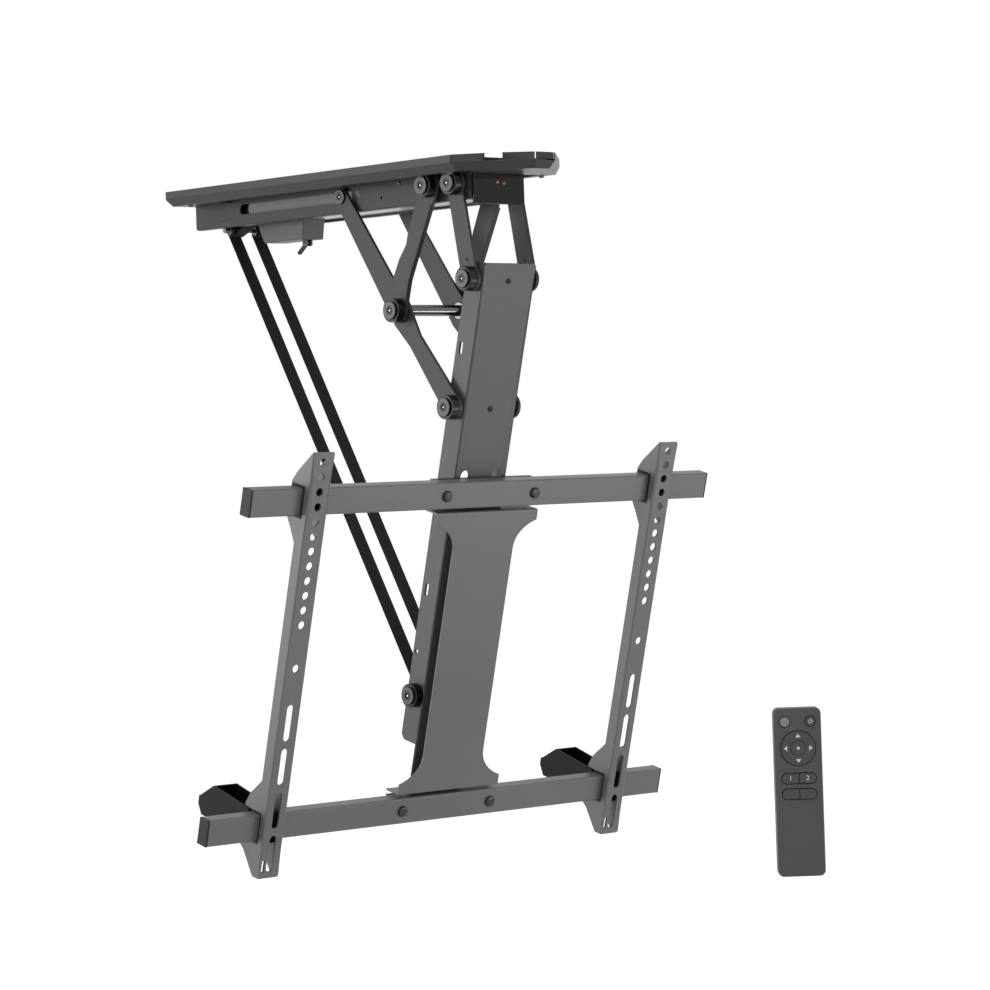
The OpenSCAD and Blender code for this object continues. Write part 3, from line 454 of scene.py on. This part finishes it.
def isRim(tree, edge):
    # The edge of a hole, a bore or a slot: close before its wall stands the opposite wall
    spot = (edge.verts[0].co + edge.verts[1].co) / 2
    for face in edge.link_faces:
        inward = (face.calc_center_median() - spot).normalized()
        start = spot + inward * edgeTest["inset"] + face.normal * edgeTest["lift"]
        if tree.ray_cast(start, face.normal, edgeTest["slotReach"])[0]:
            return True
    return False


def dress(node, finish, edge, place=whole, fold=0.0, isFold=None, segments=2):
    # A CAD node with its sharp edges broken, and its folds bent to a radius
    shape = nodeShape(node, place)
    shape.normal_update()
    tree = BVHTree.FromBMesh(shape)
    rims = shape.edges.layers.int.new("rim")
    for line in shape.edges:
        if isSharp(line) and isRim(tree, line):
            line[rims] = 1
    if isFold:
        folds = [line for line in shape.edges
                 if isSharp(line) and not line[rims] and isFold(line.verts[0].co, line.verts[1].co)]
        roundEdges(shape, folds, fold, edgeTest["foldSteps"])
    corners = [line for line in shape.edges
               if isSharp(line) and line.calc_length() > edge and not line[rims]]
    roundEdges(shape, corners, edge, segments)
    shape.edges.layers.int.remove(rims)
    bmesh.ops.transform(shape, matrix=place, verts=shape.verts)
    return settle(shape, pieceName(node), finish, bodyOf[node], slotOf[node], (node,))


def runsAlong(a, b, axis, share=0.99):
    return abs((a - b).normalized()[axis]) > share


def closeUp(shape):
    bmesh.ops.remove_doubles(shape, verts=shape.verts, dist=cleaning["closeMerge"])
    bmesh.ops.recalc_face_normals(shape, faces=shape.faces)


def lathe(profile, place, steps=48):
    # Spins a profile of radius and height about the Z axis of place
    shape = bmesh.new()
    verts = [shape.verts.new((radius, 0, height)) for radius, height in profile]
    edges = [shape.edges.new(pair) for pair in zip(verts, verts[1:])]
    bmesh.ops.spin(
        shape, geom=verts + edges, cent=(0, 0, 0), axis=(0, 0, 1), angle=math.tau, steps=steps,
        use_merge=True)
    closeUp(shape)
    bmesh.ops.transform(shape, matrix=place, verts=shape.verts)
    return shape


def gather(group, part):
    # Adds one shape to another
    mesh = bpy.data.meshes.new("part")
    part.to_mesh(mesh)
    part.free()
    group.from_mesh(mesh)
    bpy.data.meshes.remove(mesh)


def facing(point, side):
    # The place of a lathe's axis that looks along X, to the left or to the right
    return Matrix.Translation(point) @ Matrix.Rotation(side * math.pi / 2, 4, "Y")


def storeRadius(shape, centres):
    # The UV map holds each corner's distance from the axis that it turns about
    layer = shape.loops.layers.uv.new("radius")
    for face in shape.faces:
        middle = face.calc_center_median()
        centre = min(centres, key=lambda c: (c - middle).length)
        for loop in face.loops:
            loop[layer].uv = ((loop.vert.co - centre).length, 0)


# Floor, lamps and world

studioLight = {
    "world": 0.34,
    "floorDrop": 0.26,
    "floorSize": 60,
    "floorColour": (0.8, 0.8, 0.8, 1),
    "floorGlow": 0.92,
    "floorShade": (0.42, 0.42, 0.42, 1),
}
lamps = {
    "rightFront": {"place": (1.3, -1.9, -1.15), "aim": (0, -0.1, -0.5), "size": (1.1, 0.9), "power": 30},
    "leftRear": {"place": (-2.1, 1.7, -0.1), "aim": (0, 0.2, -0.2), "size": (1.0, 1.2), "power": 20},
    "overhead": {"place": (-0.5, -0.6, 1.9), "aim": (0, -0.1, -0.4), "size": (0.8, 0.8), "power": 12},
    "leftFront": {"place": (-2.6, -1.0, 0.3), "aim": (0, -0.2, -0.4), "size": (0.35, 1.2), "power": 4},
    "nearCamera": {"place": (-2.15, -2.55, 0.0), "aim": (0, -0.1, -0.4), "size": (0.22, 1.1), "power": 9},
}


def whiteRays(tree):
    # 1 for the rays that see the white background: from the camera, a gloss or a glass
    path = tree.nodes.new("ShaderNodeLightPath")
    seen = path.outputs["Is Camera Ray"]
    for ray in ("Is Glossy Ray", "Is Transmission Ray"):
        either = tree.nodes.new("ShaderNodeMath")
        either.operation = "MAXIMUM"
        tree.links.new(seen, either.inputs[0])
        tree.links.new(path.outputs[ray], either.inputs[1])
        seen = either.outputs[0]
    return seen


def studioWorld():
    world = bpy.data.worlds.new("studio")
    world.use_nodes = True
    scene.world = world
    tree = world.node_tree
    strength = tree.nodes.new("ShaderNodeMapRange")
    strength.inputs["To Min"].default_value = studioLight["world"]
    strength.inputs["To Max"].default_value = 1.0
    tree.links.new(whiteRays(tree), strength.inputs["Value"])
    background = tree.nodes["Background"]
    background.inputs["Color"].default_value = (1, 1, 1, 1)
    tree.links.new(strength.outputs[0], background.inputs["Strength"])


def studioFloor():
    # White to the camera, but for the shadow that falls on it
    floor = bmesh.new()
    bmesh.ops.create_grid(floor, x_segments=1, y_segments=1, size=studioLight["floorSize"])
    bmesh.ops.translate(floor, verts=floor.verts, vec=(0, 0, cadBox[0].z - studioLight["floorDrop"]))
    mesh = bpy.data.meshes.new("floor")
    floor.to_mesh(mesh)
    floor.free()
    ground = bpy.data.objects.new("floor", mesh)
    scene.collection.objects.link(ground)
    ground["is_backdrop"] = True
    pale = bpy.data.materials.new("paleFloor")
    pale.use_nodes = True
    tree = pale.node_tree
    shader = tree.nodes["Principled BSDF"]
    shader.inputs["Base Color"].default_value = studioLight["floorColour"]
    shader.inputs["Roughness"].default_value = 0.9
    shader.inputs["Specular IOR Level"].default_value = 0.0
    glow = tree.nodes.new("ShaderNodeEmission")
    glow.inputs["Strength"].default_value = studioLight["floorGlow"]
    matte = tree.nodes.new("ShaderNodeBsdfDiffuse")
    matte.inputs["Color"].default_value = studioLight["floorShade"]
    lit = tree.nodes.new("ShaderNodeAddShader")
    tree.links.new(glow.outputs[0], lit.inputs[0])
    tree.links.new(matte.outputs[0], lit.inputs[1])
    mix = tree.nodes.new("ShaderNodeMixShader")
    tree.links.new(whiteRays(tree), mix.inputs[0])
    tree.links.new(shader.outputs[0], mix.inputs[1])
    tree.links.new(lit.outputs[0], mix.inputs[2])
    tree.links.new(mix.outputs[0], tree.nodes["Material Output"].inputs["Surface"])
    mesh.materials.append(pale)


def softbox(name, place, aim, size, power):
    data = bpy.data.lights.new(name, "AREA")
    data.shape = "RECTANGLE"
    data.size, data.size_y = size
    data.energy = power
    lamp = bpy.data.objects.new(name, data)
    scene.collection.objects.link(lamp)
    lamp.location = place
    lamp.rotation_euler = (Vector(aim) - Vector(place)).to_track_quat("-Z", "Y").to_euler()
    lamp.visible_camera = False


print("camera and light")
camera()
studioWorld()
studioFloor()
for name, lamp in lamps.items():
    softbox(name, **lamp)


# Ceiling unit

print("ceiling unit")

touch = 0.1 * mm
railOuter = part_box("side_rail_right")[1].x


def trayFold(a, b):
    # The tray's corners lean in with its sloping sides
    return runsAlong(a, b, 2, share=0.95)


def railFold(a, b):
    return runsAlong(a, b, 1) and abs(abs(a.x) - railOuter) < touch


rail = {"finish": "coated", "edge": 0.35 * mm, "fold": 1.8 * mm, "isFold": railFold}
ceilingUnit = {
    "cover_tray": {"finish": "coverCoat", "edge": 0.4 * mm, "fold": 2.2 * mm, "isFold": trayFold},
    "ceiling_plate": {"finish": "coated", "edge": 0.4 * mm},
    "side_rail_left": rail,
    "side_rail_right": rail,
    "cross_plates": {"finish": "coated", "edge": 0.4 * mm},
    # The belly pan takes the pale coat that holds painted reflection
    "belly_pan": {"finish": "panCoat", "edge": 0.3 * mm},
    "slot_guides": {"finish": "slideStrip", "edge": 0.3 * mm},
    "slider_blocks": {"finish": "slider", "edge": 0.4 * mm},
    "sensor_panel": {"finish": "window", "edge": 0.8 * mm, "segments": 3},
    "control_box": {"finish": "boxPlastic", "edge": 0.9 * mm, "segments": 3},
    "limit_lever": {"finish": "plastic", "edge": 0.2 * mm},
    "power_inlet": {"finish": "plastic", "edge": 0.4 * mm},
    "lift_motor": {"finish": "motor", "edge": 1.0 * mm},
    "gear_head": {"finish": "casting", "edge": 0.8 * mm},
    "drum_brackets": {"finish": "zinc", "edge": 0.2 * mm},
    "belt_drum": {"finish": "zinc", "edge": 0.4 * mm},
    "guide_rollers": {"finish": "zinc", "edge": 0.3 * mm},
    "circuit_boards": {"finish": "board", "edge": 0.15 * mm},
}
for node, look in ceilingUnit.items():
    dress(node, **look)


# Pivots

print("pivots")
pivots = {
    "leastHead": 7.5 * mm,
    "leastReach": 20 * mm,
    "lift": 0.15 * mm,
    "plugRise": 1.5,  # of the lift
    "cupShare": 0.54,
    "wellShare": 0.52,
    "glintPinShare": 0.24,
    "glintPinSteps": 12,
    "tipShare": 0.8,
    "tipRise": 0.6,  # of the pin's radius
    "rimGap": 0.5 * mm,
    "wellDepth": 1.1 * mm,
    "floorShare": 0.8,
    "sleeveEdge": 0.8 * mm,
    "boltEdge": 0.35 * mm,
}
boltNodes = ("rail_pivot_bolts", "link_a_bolts", "link_b_bolts", "arm_bolts", "belt_anchor")
for node in ("rail_pivot_sleeves", "link_a_sleeves", "link_b_sleeves", "arm_sleeves"):
    dress(node, "sleeve", pivots["sleeveEdge"], segments=3)
for node in boltNodes:
    dress(node, "blackOxide", pivots["boltEdge"])


def boltEnds(node):
    # The middle of each bolt's outer face, the side that it looks to and its radius
    for low, high in solidsOf(node):
        middle = (low + high) / 2
        radius = (high.z - low.z) / 2
        if radius > pivots["leastHead"]:
            for side, outer in ((-1, low.x), (1, high.x)):
                if side * outer > pivots["leastReach"]:
                    yield Vector((outer, middle.y, middle.z)), side, radius


def socket(place, cup, across, depth, lift):
    # A round plug with a hexagonal well, whose walls draw in a little
    shape = bmesh.new()
    count = 24
    drawIn = 0.9
    loops = []
    for hexagonal, radius, height in ((False, cup, -depth), (False, cup, lift), (True, across, lift),
                                      (True, across * drawIn, -depth * pivots["floorShare"])):
        loop = []
        for i in range(count):
            angle = math.tau * i / count
            reach = radius / math.cos(angle % (math.pi / 3) - math.pi / 6) if hexagonal else radius
            loop.append(shape.verts.new((reach * math.cos(angle), reach * math.sin(angle), height)))
        loops.append(loop)
    for before, after in zip(loops, loops[1:]):
        for i in range(count):
            j = (i + 1) % count
            shape.faces.new((before[i], before[j], after[j], after[i]))
    shape.faces.new(loops[0])
    shape.faces.new(loops[-1])
    bmesh.ops.recalc_face_normals(shape, faces=shape.faces)
    bmesh.ops.transform(shape, matrix=place, verts=shape.verts)
    return shape


def glintPinProfile(radius):
    # A short bright pin with a blunt point on the floor of the well, a painted glint that stands for the sparkle
    # in the socket
    low = -pivots["wellDepth"] * pivots["floorShare"]
    tip = (radius * pivots["tipShare"], low + radius * pivots["tipRise"])
    return [(0, low), (radius, low), tip, (0, low + radius)]


for node in boltNodes:
    faces, plugs, glintPins = bmesh.new(), bmesh.new(), bmesh.new()
    centres = []
    for end, side, radius in boltEnds(node):
        place = facing(end, side)
        lift = pivots["lift"]
        cup = radius * pivots["cupShare"]
        rim = radius - pivots["rimGap"]
        centres.append(end)
        gather(faces, lathe(
            [(cup, -lift), (cup, lift), (rim - lift, lift), (rim, 0), (rim, -lift), (cup, -lift)], place))
        well = cup * pivots["wellShare"]
        gather(plugs, socket(place, cup, well, pivots["wellDepth"], lift * pivots["plugRise"]))
        # Each socket gets a bright pin as its painted glint
        gather(glintPins, lathe(glintPinProfile(cup * pivots["glintPinShare"]), place, pivots["glintPinSteps"]))
    storeRadius(faces, centres)
    stem = pieceName(node)
    settle(faces, stem + "Faces", "turned", bodyOf[node], "bolt_steel")
    settle(plugs, stem + "Sockets", "sleeve", bodyOf[node], "black_plastic")
    settle(glintPins, stem + "Pins", "spark", bodyOf[node], "bare_steel")


# Links and arm

print("links and arm")
linkEdge = 0.5 * mm
for node in ("link_a_left", "link_b_left", "link_a_right", "link_b_right", "front_links"):
    dress(node, "linkCoat", linkEdge)
dress("cross_shaft", "shaft", linkEdge)

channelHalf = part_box("arm_channel")[1].x
plateFront = min(low.y for low, high in solidsOf("centre_plate", armPlace))
foldFronts = {"channel": -10 * mm, "screenArm": -40 * mm}  # the folds lie ahead of these


def channelFold(a, b):
    return runsAlong(a, b, 2) and abs(abs(a.x) - channelHalf) < touch and a.y < foldFronts["channel"]


def barFold(a, b):
    return runsAlong(a, b, 0)


def plateFold(a, b):
    return runsAlong(a, b, 0) and abs(a.y - plateFront) < touch


def screenArmFold(a, b):
    return runsAlong(a, b, 2) and a.y < foldFronts["screenArm"]


bar = {"finish": "frameCoat", "edge": 0.25 * mm, "fold": 1.8 * mm, "isFold": barFold}
screenArm = {"finish": "frameCoat", "edge": 0.35 * mm, "fold": 1.8 * mm, "isFold": screenArmFold}
liner = {"finish": "plastic", "edge": 0.5 * mm}
# The bumpers take the coat that holds painted shade
bumper = {"finish": "bumperCoat", "edge": 0.4 * mm}
screenFrame = {
    "arm_channel": {"finish": "armCoat", "edge": 0.4 * mm, "fold": 2.4 * mm, "isFold": channelFold},
    "bar_saddles": {"finish": "coverCoat", "edge": 0.6 * mm},
    "upper_bar": bar,
    "lower_bar": bar,
    "bar_end_caps": {"finish": "plastic", "edge": 0.7 * mm, "segments": 3},
    "centre_plate": {"finish": "frameCoat", "edge": 0.35 * mm, "fold": 1.6 * mm, "isFold": plateFold},
    "screen_arm_left": screenArm,
    "arm_liners_left": liner,
    "bumper_left": bumper,
    "screen_arm_right": screenArm,
    "arm_liners_right": liner,
    "bumper_right": bumper,
}
for node, look in screenFrame.items():
    dress(node, place=armPlace, **look)


# Screws with a cross recess

headShares = {"height": 0.55, "recess": 0.5, "arm": 0.17, "rim": 1.3, "depth": 0.75, "taper": 0.7}
domeShares = ((0.86, 0.86), (0.97, 0.55), (1.0, 0.1), (1.0, -0.05))  # of the radius and of the height
screwTurn = {"first": 0.4, "step": 0.7}


def crossHead(place, radius):
    # A domed head with a cross recess, whose base lies at the origin of place
    height, recess, arm = (radius * headShares[size] for size in ("height", "recess", "arm"))
    reach = recess * headShares["rim"]
    shape = bmesh.new()
    crossing = []
    for turn in range(4):
        quarter = Matrix.Rotation(turn * math.pi / 2, 3, "Z")
        spots = ((arm, arm), (recess, arm), (recess, -arm))
        crossing += [quarter @ Vector((*spot, height)) for spot in spots]
    crossing.sort(key=lambda p: math.atan2(p.y, p.x))
    count = len(crossing)
    bmesh.ops.create_circle(
        shape, segments=count, radius=reach,
        matrix=Matrix.Translation((0, 0, height)) @ Matrix.Rotation(math.pi / count, 4, "Z"))
    rimEdges = list(shape.edges)
    hole = [shape.verts.new(p) for p in crossing]
    holeEdges = [shape.edges.new((hole[i], hole[(i + 1) % count])) for i in range(count)]
    bmesh.ops.bridge_loops(shape, edges=rimEdges + holeEdges)
    sunk = bmesh.ops.extrude_face_region(shape, geom=[shape.faces.new(hole)])["geom"]
    pit = [v for v in sunk if isinstance(v, bmesh.types.BMVert)]
    bmesh.ops.translate(shape, verts=pit, vec=(0, 0, -height * headShares["depth"]))
    bmesh.ops.scale(shape, verts=pit, vec=(headShares["taper"], headShares["taper"], 1))
    edges = rimEdges
    for share, level in domeShares:
        grown = bmesh.ops.extrude_edge_only(shape, edges=edges)["geom"]
        verts = [v for v in grown if isinstance(v, bmesh.types.BMVert)]
        factor = radius * share / reach
        bmesh.ops.scale(shape, verts=verts, vec=(factor, factor, 1))
        bmesh.ops.translate(shape, verts=verts, vec=(0, 0, height * level - verts[0].co.z))
        edges = [e for e in grown if isinstance(e, bmesh.types.BMEdge) and e.is_boundary]
        reach = radius * share
    bmesh.ops.edgeloop_fill(shape, edges=edges)
    closeUp(shape)
    bmesh.ops.transform(shape, matrix=place, verts=shape.verts)
    return shape


def screwSet(name, node, finish, place):
    # One detailed head for each solid of the node, where the node has it
    group = bmesh.new()
    spin = screwTurn["first"]
    for low, high in solidsOf(node, place):
        middle = (low + high) / 2
        sizes = high - low
        thin = min(range(3), key=lambda i: sizes[i])
        radius = max(sizes) / 2
        base = middle.copy()
        direction = Vector((0, 0, 0))
        if thin == 1:
            base.y, direction.y = high.y, -1
        elif thin == 0:
            direction.x = 1 if middle.x > 0 else -1
            base.x = low.x if middle.x > 0 else high.x
        else:
            continue
        turn = direction.to_track_quat("Z", "X").to_matrix().to_4x4() @ Matrix.Rotation(spin, 4, "Z")
        gather(group, crossHead(place @ Matrix.Translation(base) @ turn, radius))
        spin += screwTurn["step"]
    return settle(group, name, finish, bodyOf[node], slotOf[node], (node,))


print("screws")
screwSet("frameScrews", "frame_screws", "blackOxide", armPlace)
dress("unit_screws", "zinc", 0.2 * mm)


# Belts

print("belts")
belt = {
    "thickness": 1.5 * mm,
    "edge": 0.35 * mm,
    "squareEdge": math.radians(69),
    "clearance": 0.3 * mm,
    "loopRadius": 7.6 * mm,
    "loopShare": 0.97,
    "runSteps": 10,
    "rollerSteps": 12,
    "loopSteps": 32,
    "smooth": 40,
    "woundShare": 0.0843,  # of the run's length, which is left when the lift is up
}
beltSolids = solidsOf("lift_belts")
beltSides = sorted((low.x, high.x) for low, high in beltSolids if low.x > 0)
beltInner, beltOuter = beltSides[0][0], beltSides[-1][1]
drumLow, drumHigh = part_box("belt_drum")
drumCentre = (drumLow + drumHigh) / 2
drumRadius = (drumHigh.z - drumLow.z) / 2
rollerRadius = (rollerHigh.z - rollerLow.z) / 2


def strap(name, points, body, replaced=()):
    # A flat strap on each side, as a cross-section carried along the points
    group = bmesh.new()
    half = belt["thickness"] / 2
    frames = []
    for i, point in enumerate(points):
        ahead = (points[min(i + 1, len(points) - 1)] - points[max(i - 1, 0)]).normalized()
        across = Vector((0, -ahead.z, ahead.y))
        turn = Matrix((Vector((1, 0, 0)), across, ahead)).transposed().to_4x4()
        frames.append(Matrix.Translation(point) @ turn)
    for side in (-1, 1):
        shape = bmesh.new()
        ends = sorted((side * beltInner, side * beltOuter))
        corners = ((ends[0], -half), (ends[1], -half), (ends[1], half), (ends[0], half))
        face = shape.faces.new([shape.verts.new(frames[0] @ Vector((x, y, 0))) for x, y in corners])
        for before, after in zip(frames, frames[1:]):
            grown = bmesh.ops.extrude_face_region(shape, geom=[face])["geom"]
            face = next(f for f in grown if isinstance(f, bmesh.types.BMFace))
            bmesh.ops.transform(shape, matrix=after @ before.inverted(), verts=face.verts)
        bmesh.ops.recalc_face_normals(shape, faces=shape.faces)
        long = [edge for edge in shape.edges
                if edge.is_manifold and edge.calc_face_angle(0) > belt["squareEdge"]]
        roundEdges(shape, long, belt["edge"], 2)
        gather(group, shape)
    return settle(group, name, "belt", body, "webbing", replaced, belt["smooth"])


def arc(centre, radius, start, end, count):
    angles = [start + (end - start) * i / count for i in range(count + 1)]
    return [Vector((0, centre.y + radius * math.cos(a), centre.z + radius * math.sin(a))) for a in angles]


# The run lies on the front side of the roller and of the anchor, seen along the belt
side = Vector((0, beltRun.z, -beltRun.y))
onRoller = rollerRadius + belt["thickness"] / 2 + belt["clearance"]
onAnchor = belt["loopRadius"] + belt["thickness"] / 2
onDrum = drumRadius + belt["thickness"] / 2 + belt["clearance"]
roller = Vector((0, beltTop.y, beltTop.z))
anchor = Vector((0, beltFoot.y, beltFoot.z))
drum = Vector((0, drumCentre.y, drumCentre.z))
runStart, runEnd = anchor + side * onAnchor, roller + side * onRoller
steps = belt["runSteps"]
runPoints = [runStart + (runEnd - runStart) * i / steps for i in range(steps + 1)]
runPiece = strap("liftBeltRuns", runPoints, "belts", ("lift_belts",))

# From the roller, the feed goes back to the far side of the drum
sideAngle = math.atan2(side.z, side.y)
feed = drum - roller
lean = math.asin((onDrum - onRoller) / feed.length)
feedAngle = math.atan2(feed.z, feed.y) + math.pi / 2 + lean
while feedAngle < sideAngle:
    feedAngle += math.tau
if feedAngle - sideAngle > math.pi:
    feedAngle -= math.tau
around = arc(roller, onRoller, sideAngle, feedAngle, belt["rollerSteps"])
drumPoint = arc(drum, onDrum, feedAngle, feedAngle, 1)[0]
strap("liftBeltFeeds", around + [drumPoint], "ceiling_unit")
loopEnd = sideAngle + math.tau * belt["loopShare"]
strap("liftBeltLoops", arc(anchor, onAnchor, sideAngle, loopEnd, belt["loopSteps"]), "arm")
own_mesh(runPiece)


# Sensor lights

print("sensor lights")
lights = {
    "domeRise": 0.6 * mm,
    "domeSteps": 6,
    "turnSteps": 32,
    "left": {"name": "powerLamp", "finish": "redLens", "slot": "red_lens", "replaced": ("sensor_lights",)},
    "right": {"name": "receiverEye", "finish": "eye", "slot": "dark_window"},
}
lensSolids = sorted(solidsOf("sensor_lights"), key=lambda solid: solid[0].x)
for (low, high), place in zip(lensSolids, ("left", "right")):
    middle = (low + high) / 2
    radius = (high.x - low.x) / 2
    depth = high.y - low.y
    angles = [math.pi / 2 * i / lights["domeSteps"] for i in range(lights["domeSteps"])]
    dome = [(radius * math.cos(a), lights["domeRise"] * math.sin(a) + depth) for a in angles]
    profile = [(0, 0), (radius, 0)] + dome + [(0, lights["domeRise"] + depth)]
    front = Matrix.Translation((middle.x, high.y, middle.z)) @ Matrix.Rotation(math.pi / 2, 4, "X")
    settle(lathe(profile, front, lights["turnSteps"]), body="ceiling_unit", **lights[place])


# Remote control

print("remote control")
remote = {
    "faceEdge": 1.6 * mm,
    "holeEdge": 0.25 * mm,
    "rimWidth": 2.1 * mm,
    "sameLevel": 0.01 * mm,
    "backEdge": 1.2 * mm,
    "cellEdge": 0.5 * mm,
    "keyEdge": 0.5 * mm,
    "printLift": 0.08 * mm,
    "outline": 0.7 * mm,
    "outlineGap": 0.3 * mm,
    "dotRadius": 1.5 * mm,
    "dotSteps": 24,
    "figureHeight": 7 * mm,
}
arrow = {"tip": 14.6 * mm, "back": 11.0 * mm, "half": 2.7 * mm}
powerSign = {
    "start": math.radians(125),
    "end": math.radians(415),
    "inner": 1.5 * mm,
    "outer": 2.1 * mm,
    "barHalf": 0.3 * mm,
    "barLow": 0.6 * mm,
    "barHigh": 2.7 * mm,
    "steps": 24,
}
remotePlace = Matrix.Rotation(remoteTurn, 4, "Z")
faceBox = solidsOf("remote_face", remotePlace)[0]
frontY = faceBox[0].y


def faceRim(a, b):
    # The outer edge of the front, not the edges of the key holes
    if max(abs(a.y - frontY), abs(b.y - frontY)) > remote["sameLevel"]:
        return False
    spot = (a + b) / 2
    toSide = min(spot.x - faceBox[0].x, faceBox[1].x - spot.x)
    toEnd = min(spot.z - faceBox[0].z, faceBox[1].z - spot.z)
    return min(toSide, toEnd) < remote["rimWidth"]


dress("remote_face", "remote", remote["holeEdge"], remotePlace, remote["faceEdge"], faceRim)
dress("remote_back", "remoteRear", remote["backEdge"], remotePlace, segments=3)
dress("remote_batteries", "cell", remote["cellEdge"])
dress("key_lamp", "greyKey", remote["keyEdge"], remotePlace, segments=3)
for key in ("power", "ring", "ok", "one", "two", "store_one", "store_two"):
    dress("key_" + key, "key", remote["keyEdge"], remotePlace, segments=3)


def keyBox(key):
    return solidsOf(key, remotePlace)[0]


def thicken(shape, name, finish, body, slot="key_grey"):
    # Turns a flat print into a thin closed sheet on its key and puts it in place
    raised = bmesh.ops.extrude_face_region(shape, geom=list(shape.faces))["geom"]
    verts = [v for v in raised if isinstance(v, bmesh.types.BMVert)]
    bmesh.ops.translate(shape, verts=verts, vec=(0, remote["printLift"] * 2, 0))
    bmesh.ops.recalc_face_normals(shape, faces=shape.faces)
    bmesh.ops.transform(shape, matrix=remotePlace, verts=shape.verts)
    settle(shape, name, finish, body, slot)


def outlineRing(shape, middle, width, height):
    # A printed band round a key, round or with round ends
    inner = height / 2
    reach = max(width / 2 - inner, 0)
    steps = 16
    edges = []
    for radius in (inner, inner + remote["outline"]):
        loop = []
        for end in (1, -1):
            for i in range(steps + 1):
                angle = math.pi * (i / steps - end / 2)
                spot = (middle.x + end * reach + radius * math.cos(angle), frontY - remote["printLift"],
                        middle.z + radius * math.sin(angle))
                loop.append(shape.verts.new(spot))
        edges += [shape.edges.new(pair) for pair in zip(loop, loop[1:] + loop[:1])
                  if (pair[0].co - pair[1].co).length > cleaning["merge"]]
    bmesh.ops.bridge_loops(shape, edges=edges)


bands = bmesh.new()
for keys in (("key_lamp",), ("key_power",), ("key_ring",), ("key_one", "key_two"),
             ("key_store_one", "key_store_two")):
    boxes = [keyBox(key) for key in keys]
    low = Vector([min(box[0][i] for box in boxes) for i in range(3)])
    high = Vector([max(box[1][i] for box in boxes) for i in range(3)])
    wide, tall = high.x - low.x + remote["outlineGap"] * 2, high.z - low.z + remote["outlineGap"] * 2
    outlineRing(bands, (low + high) / 2, wide, tall)
bmesh.ops.remove_doubles(bands, verts=bands.verts, dist=cleaning["closeMerge"])
thicken(bands, "remoteKeyBands", "blackPrint", "ceiling_unit", "remote_dark")


def printSpot(key):
    # The middle of a key's front, where its print lies
    low, high = keyBox(key)
    return Vector(((low.x + high.x) / 2, low.y - remote["printLift"], (low.z + high.z) / 2))


def printFace(shape, middle, spots):
    # A flat face of points given as X and Z from the middle
    return shape.faces.new([shape.verts.new(middle + Vector((x, 0, z))) for x, z in spots])


toFront = Matrix.Rotation(math.pi / 2, 4, "X")
arrows = bmesh.new()
for turn in range(4):
    cos, sin = math.cos(turn * math.pi / 2), math.sin(turn * math.pi / 2)
    corners = [(0, arrow["tip"]), (arrow["half"], arrow["back"]), (-arrow["half"], arrow["back"])]
    printFace(arrows, printSpot("key_ring"), [(x * cos - z * sin, x * sin + z * cos) for x, z in corners])
thicken(arrows, "ringArrows", "whitePrint", bodyOf["key_ring"])

dot = bmesh.new()
bmesh.ops.create_circle(
    dot, cap_ends=True, segments=remote["dotSteps"], radius=remote["dotRadius"],
    matrix=Matrix.Translation(printSpot("key_ok")) @ toFront)
thicken(dot, "okDot", "whitePrint", bodyOf["key_ok"])

for key, figure, name in (("key_one", "1", "figureOne"), ("key_two", "2", "figureTwo")):
    text = bpy.data.curves.new("figure", "FONT")
    text.body = figure
    text.size = remote["figureHeight"]
    text.align_x, text.align_y = "CENTER", "CENTER"
    holder = bpy.data.objects.new("figure", text)
    scene.collection.objects.link(holder)
    bpy.context.view_layer.update()
    flatMesh = bpy.data.meshes.new_from_object(holder.evaluated_get(bpy.context.evaluated_depsgraph_get()))
    bpy.data.objects.remove(holder)
    digit = bmesh.new()
    digit.from_mesh(flatMesh)
    bmesh.ops.remove_doubles(digit, verts=digit.verts, dist=cleaning["merge"])
    bmesh.ops.transform(digit, matrix=Matrix.Translation(printSpot(key)) @ toFront, verts=digit.verts)
    thicken(digit, name, "whitePrint", bodyOf[key])

mark = bmesh.new()
middle = printSpot("key_power")
sweep = (powerSign["end"] - powerSign["start"]) / powerSign["steps"]
angles = [powerSign["start"] + sweep * i for i in range(powerSign["steps"] + 1)]
arcs = []
for radius in (powerSign["inner"], powerSign["outer"]):
    spots = [middle + Vector((math.cos(angle), 0, math.sin(angle))) * radius for angle in angles]
    arcs.append([mark.verts.new(spot) for spot in spots])
for i in range(powerSign["steps"]):
    mark.faces.new((arcs[0][i], arcs[0][i + 1], arcs[1][i + 1], arcs[1][i]))
half, low, high = powerSign["barHalf"], powerSign["barLow"], powerSign["barHigh"]
printFace(mark, middle, [(-half, low), (half, low), (half, high), (-half, high)])
thicken(mark, "powerMark", "whitePrint", bodyOf["key_power"])


print("sizes")
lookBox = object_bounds()
boxes = {"cad": cadBox, "visual": lookBox}
